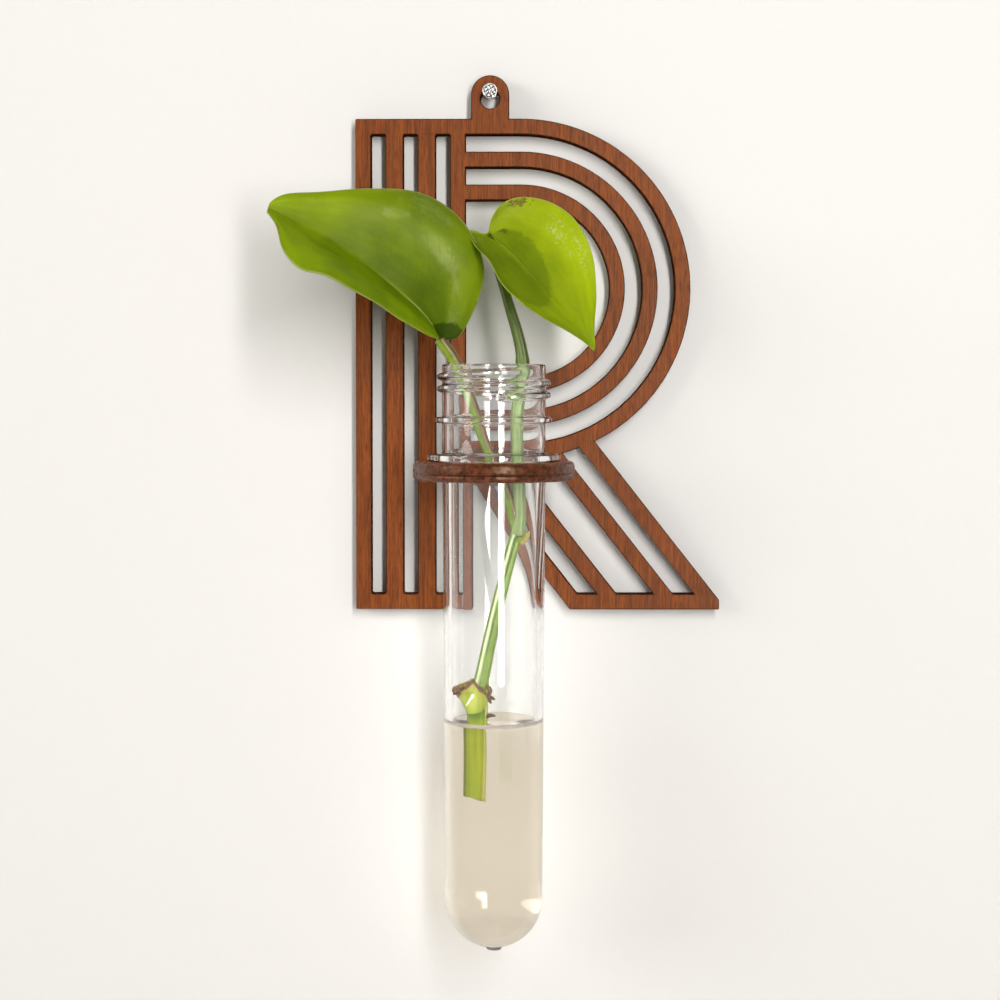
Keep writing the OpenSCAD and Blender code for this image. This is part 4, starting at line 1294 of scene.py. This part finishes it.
class PLANTER_OT_stage(bpy.types.Operator):
    """Set up the wall, the floor, the lamps and the camera"""

    bl_idname = "planter.stage"
    bl_label = "Stage"

    def execute(self, context):
        settings, scene = context.scene.planter_stage, context.scene
        scene.view_settings.view_transform = "Standard"
        corners = (-1, -1), (1, -1), (1, 1), (-1, 1)
        middle, rise = (WALL_TOP + FLOOR_Z) / 2, (WALL_TOP - FLOOR_Z) / 2
        self.backdrop("wall", settings.wall, [
            (WALL_WIDTH / 2 * x, WALL_Y, middle + rise * z) for x, z in corners
        ])
        self.backdrop("floor", settings.wall, [
            (FLOOR_WIDTH / 2 * x, FLOOR_WIDTH / 2 * y, FLOOR_Z) for x, y in corners
        ])
        self.world(scene, settings)
        for name, lamp in LAMPS.items():
            self.lamp(name, getattr(settings, name), *lamp)
        camera = placed("camera", bpy.data.cameras.new("camera"))
        camera.data.sensor_width = 36
        camera.data.lens = settings.lens
        camera.data.shift_y = -0.05
        camera.data.clip_start = 0.01
        camera.location = CAMERA_PLACE
        camera.rotation_euler = CAMERA_TURN
        scene.camera = camera
        return {"FINISHED"}

    def lamp(self, name, power, direction, distance, size, colour, shape):
        data = bpy.data.lights.new(name + " lamp", "AREA")
        data.energy = power
        data.shape = shape
        data.size, data.size_y = size
        data.color = colour
        lamp = placed(name + " lamp", data)
        turn, rise = (math.radians(a) for a in direction)
        way = Vector((
            math.sin(turn) * math.cos(rise), -math.cos(turn) * math.cos(rise), math.sin(rise)
        ))
        lamp.location = LAMPS_LOOK_AT + way * distance
        lamp.rotation_euler = way.to_track_quat("Z", "Y").to_euler()
        lamp.visible_diffuse = name != "window"

    def backdrop(self, name, colour, corners):
        """The pale wall or floor."""
        mesh = bpy.data.meshes.new(name)
        mesh.from_pydata(corners, [], [(0, 1, 2, 3)])
        f = Finish("pale " + name)
        grain = f.noise(f.place, 0.5, 4.0, 0.6)
        shade = tuple(c * 0.97 for c in colour)
        f.set(
            Base_Color=f.blend(f.scale(grain, 0.3, 0.7, 0, 0.25), colour, shade),
            Roughness=0.9,
            Specular_IOR_Level=0.1,
            Normal=f.bump(grain, 0.2, 0.0002),
        )
        if name == "wall":
            # The wall is seen from the front only, so that the object's back can be seen
            back = f.node("ShaderNodeNewGeometry").outputs["Backfacing"]
            f.show(back, f.shader, f.node("ShaderNodeBsdfTransparent"))
        else:
            # The floor lies far below and shows as the same pale white as the background
            path = f.node("ShaderNodeLightPath").outputs
            seen = f.most(path["Is Camera Ray"], path["Is Transmission Ray"],
                          f.times(path["Is Glossy Ray"], 0.6))
            pale = f.node("ShaderNodeEmission", Color=(0.9, 0.89, 0.875))
            f.show(f.times(seen, 0.9), f.shader, pale)
        mesh.materials.append(f.material)
        piece = placed(name, mesh)
        piece.visible_shadow = False
        piece.visible_diffuse = name != "wall"

    def world(self, scene, settings):
        """Even soft light. The background is white where it is seen, and gloss shows a
        dimmer room on the viewer's side of the wall."""
        world = bpy.data.worlds.new("studio")
        scene.world = world
        world.use_nodes = True
        f = Nodes(world.node_tree, "World Output")
        path = f.node("ShaderNodeLightPath").outputs
        clear = f.most(path["Is Camera Ray"], path["Is Transmission Ray"])
        seen = f.most(clear, path["Is Glossy Ray"])
        way = f.parts(f.node("ShaderNodeTexCoord").outputs["Generated"])
        mirrored = f.math("SUBTRACT", f.step(way[1], 0.3, -0.4), clear, clamp=True)
        room = tuple(c * settings.room for c in (1, 0.97, 0.93))
        shown = f.node(
            "ShaderNodeBackground", Color=f.blend(mirrored, (0.93, 0.925, 0.915), room)
        )
        light = f.tree.nodes["Background"]
        f.fill(light, ("Color", "Strength"), ((1, 0.94, 0.9), settings.ambient))
        f.show(seen, light, shown)


SETTINGS = {
    "planter_plywood": PlywoodSettings,
    "planter_nail": NailSettings,
    "planter_tube": TubeSettings,
    "planter_water": WaterSettings,
    "planter_cutting": CuttingSettings,
    "planter_stage": StageSettings,
}
STEPS = (
    PLANTER_OT_stage, PLANTER_OT_plywood, PLANTER_OT_nail, PLANTER_OT_tube, PLANTER_OT_water,
    PLANTER_OT_stems, PLANTER_OT_joint, PLANTER_OT_leaves,
)


class PLANTER_PT_panel(bpy.types.Panel):
    """Settings and steps of the planter"""

    bl_label = "Wall planter"
    bl_space_type = "VIEW_3D"
    bl_region_type = "UI"
    bl_category = "Planter"

    def draw(self, context):
        layout = self.layout
        for key, group in SETTINGS.items():
            box = layout.box()
            box.label(text=group.__doc__)
            for setting in group.__annotations__:
                box.prop(getattr(context.scene, key), setting)
        for step in STEPS:
            layout.operator(step.bl_idname)


CLASSES = (*SETTINGS.values(), *STEPS, PLANTER_PT_panel)


def register():
    for made in CLASSES:
        bpy.utils.register_class(made)
    for key, group in SETTINGS.items():
        setattr(bpy.types.Scene, key, PointerProperty(type=group))


def unregister():
    for key in SETTINGS:
        delattr(bpy.types.Scene, key)
    for made in reversed(CLASSES):
        bpy.utils.unregister_class(made)


def main():
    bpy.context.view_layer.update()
    register()
    for step in STEPS:
        group, name = step.bl_idname.split(".")
        getattr(getattr(bpy.ops, group), name)()


if __name__ == "__main__":
    main()
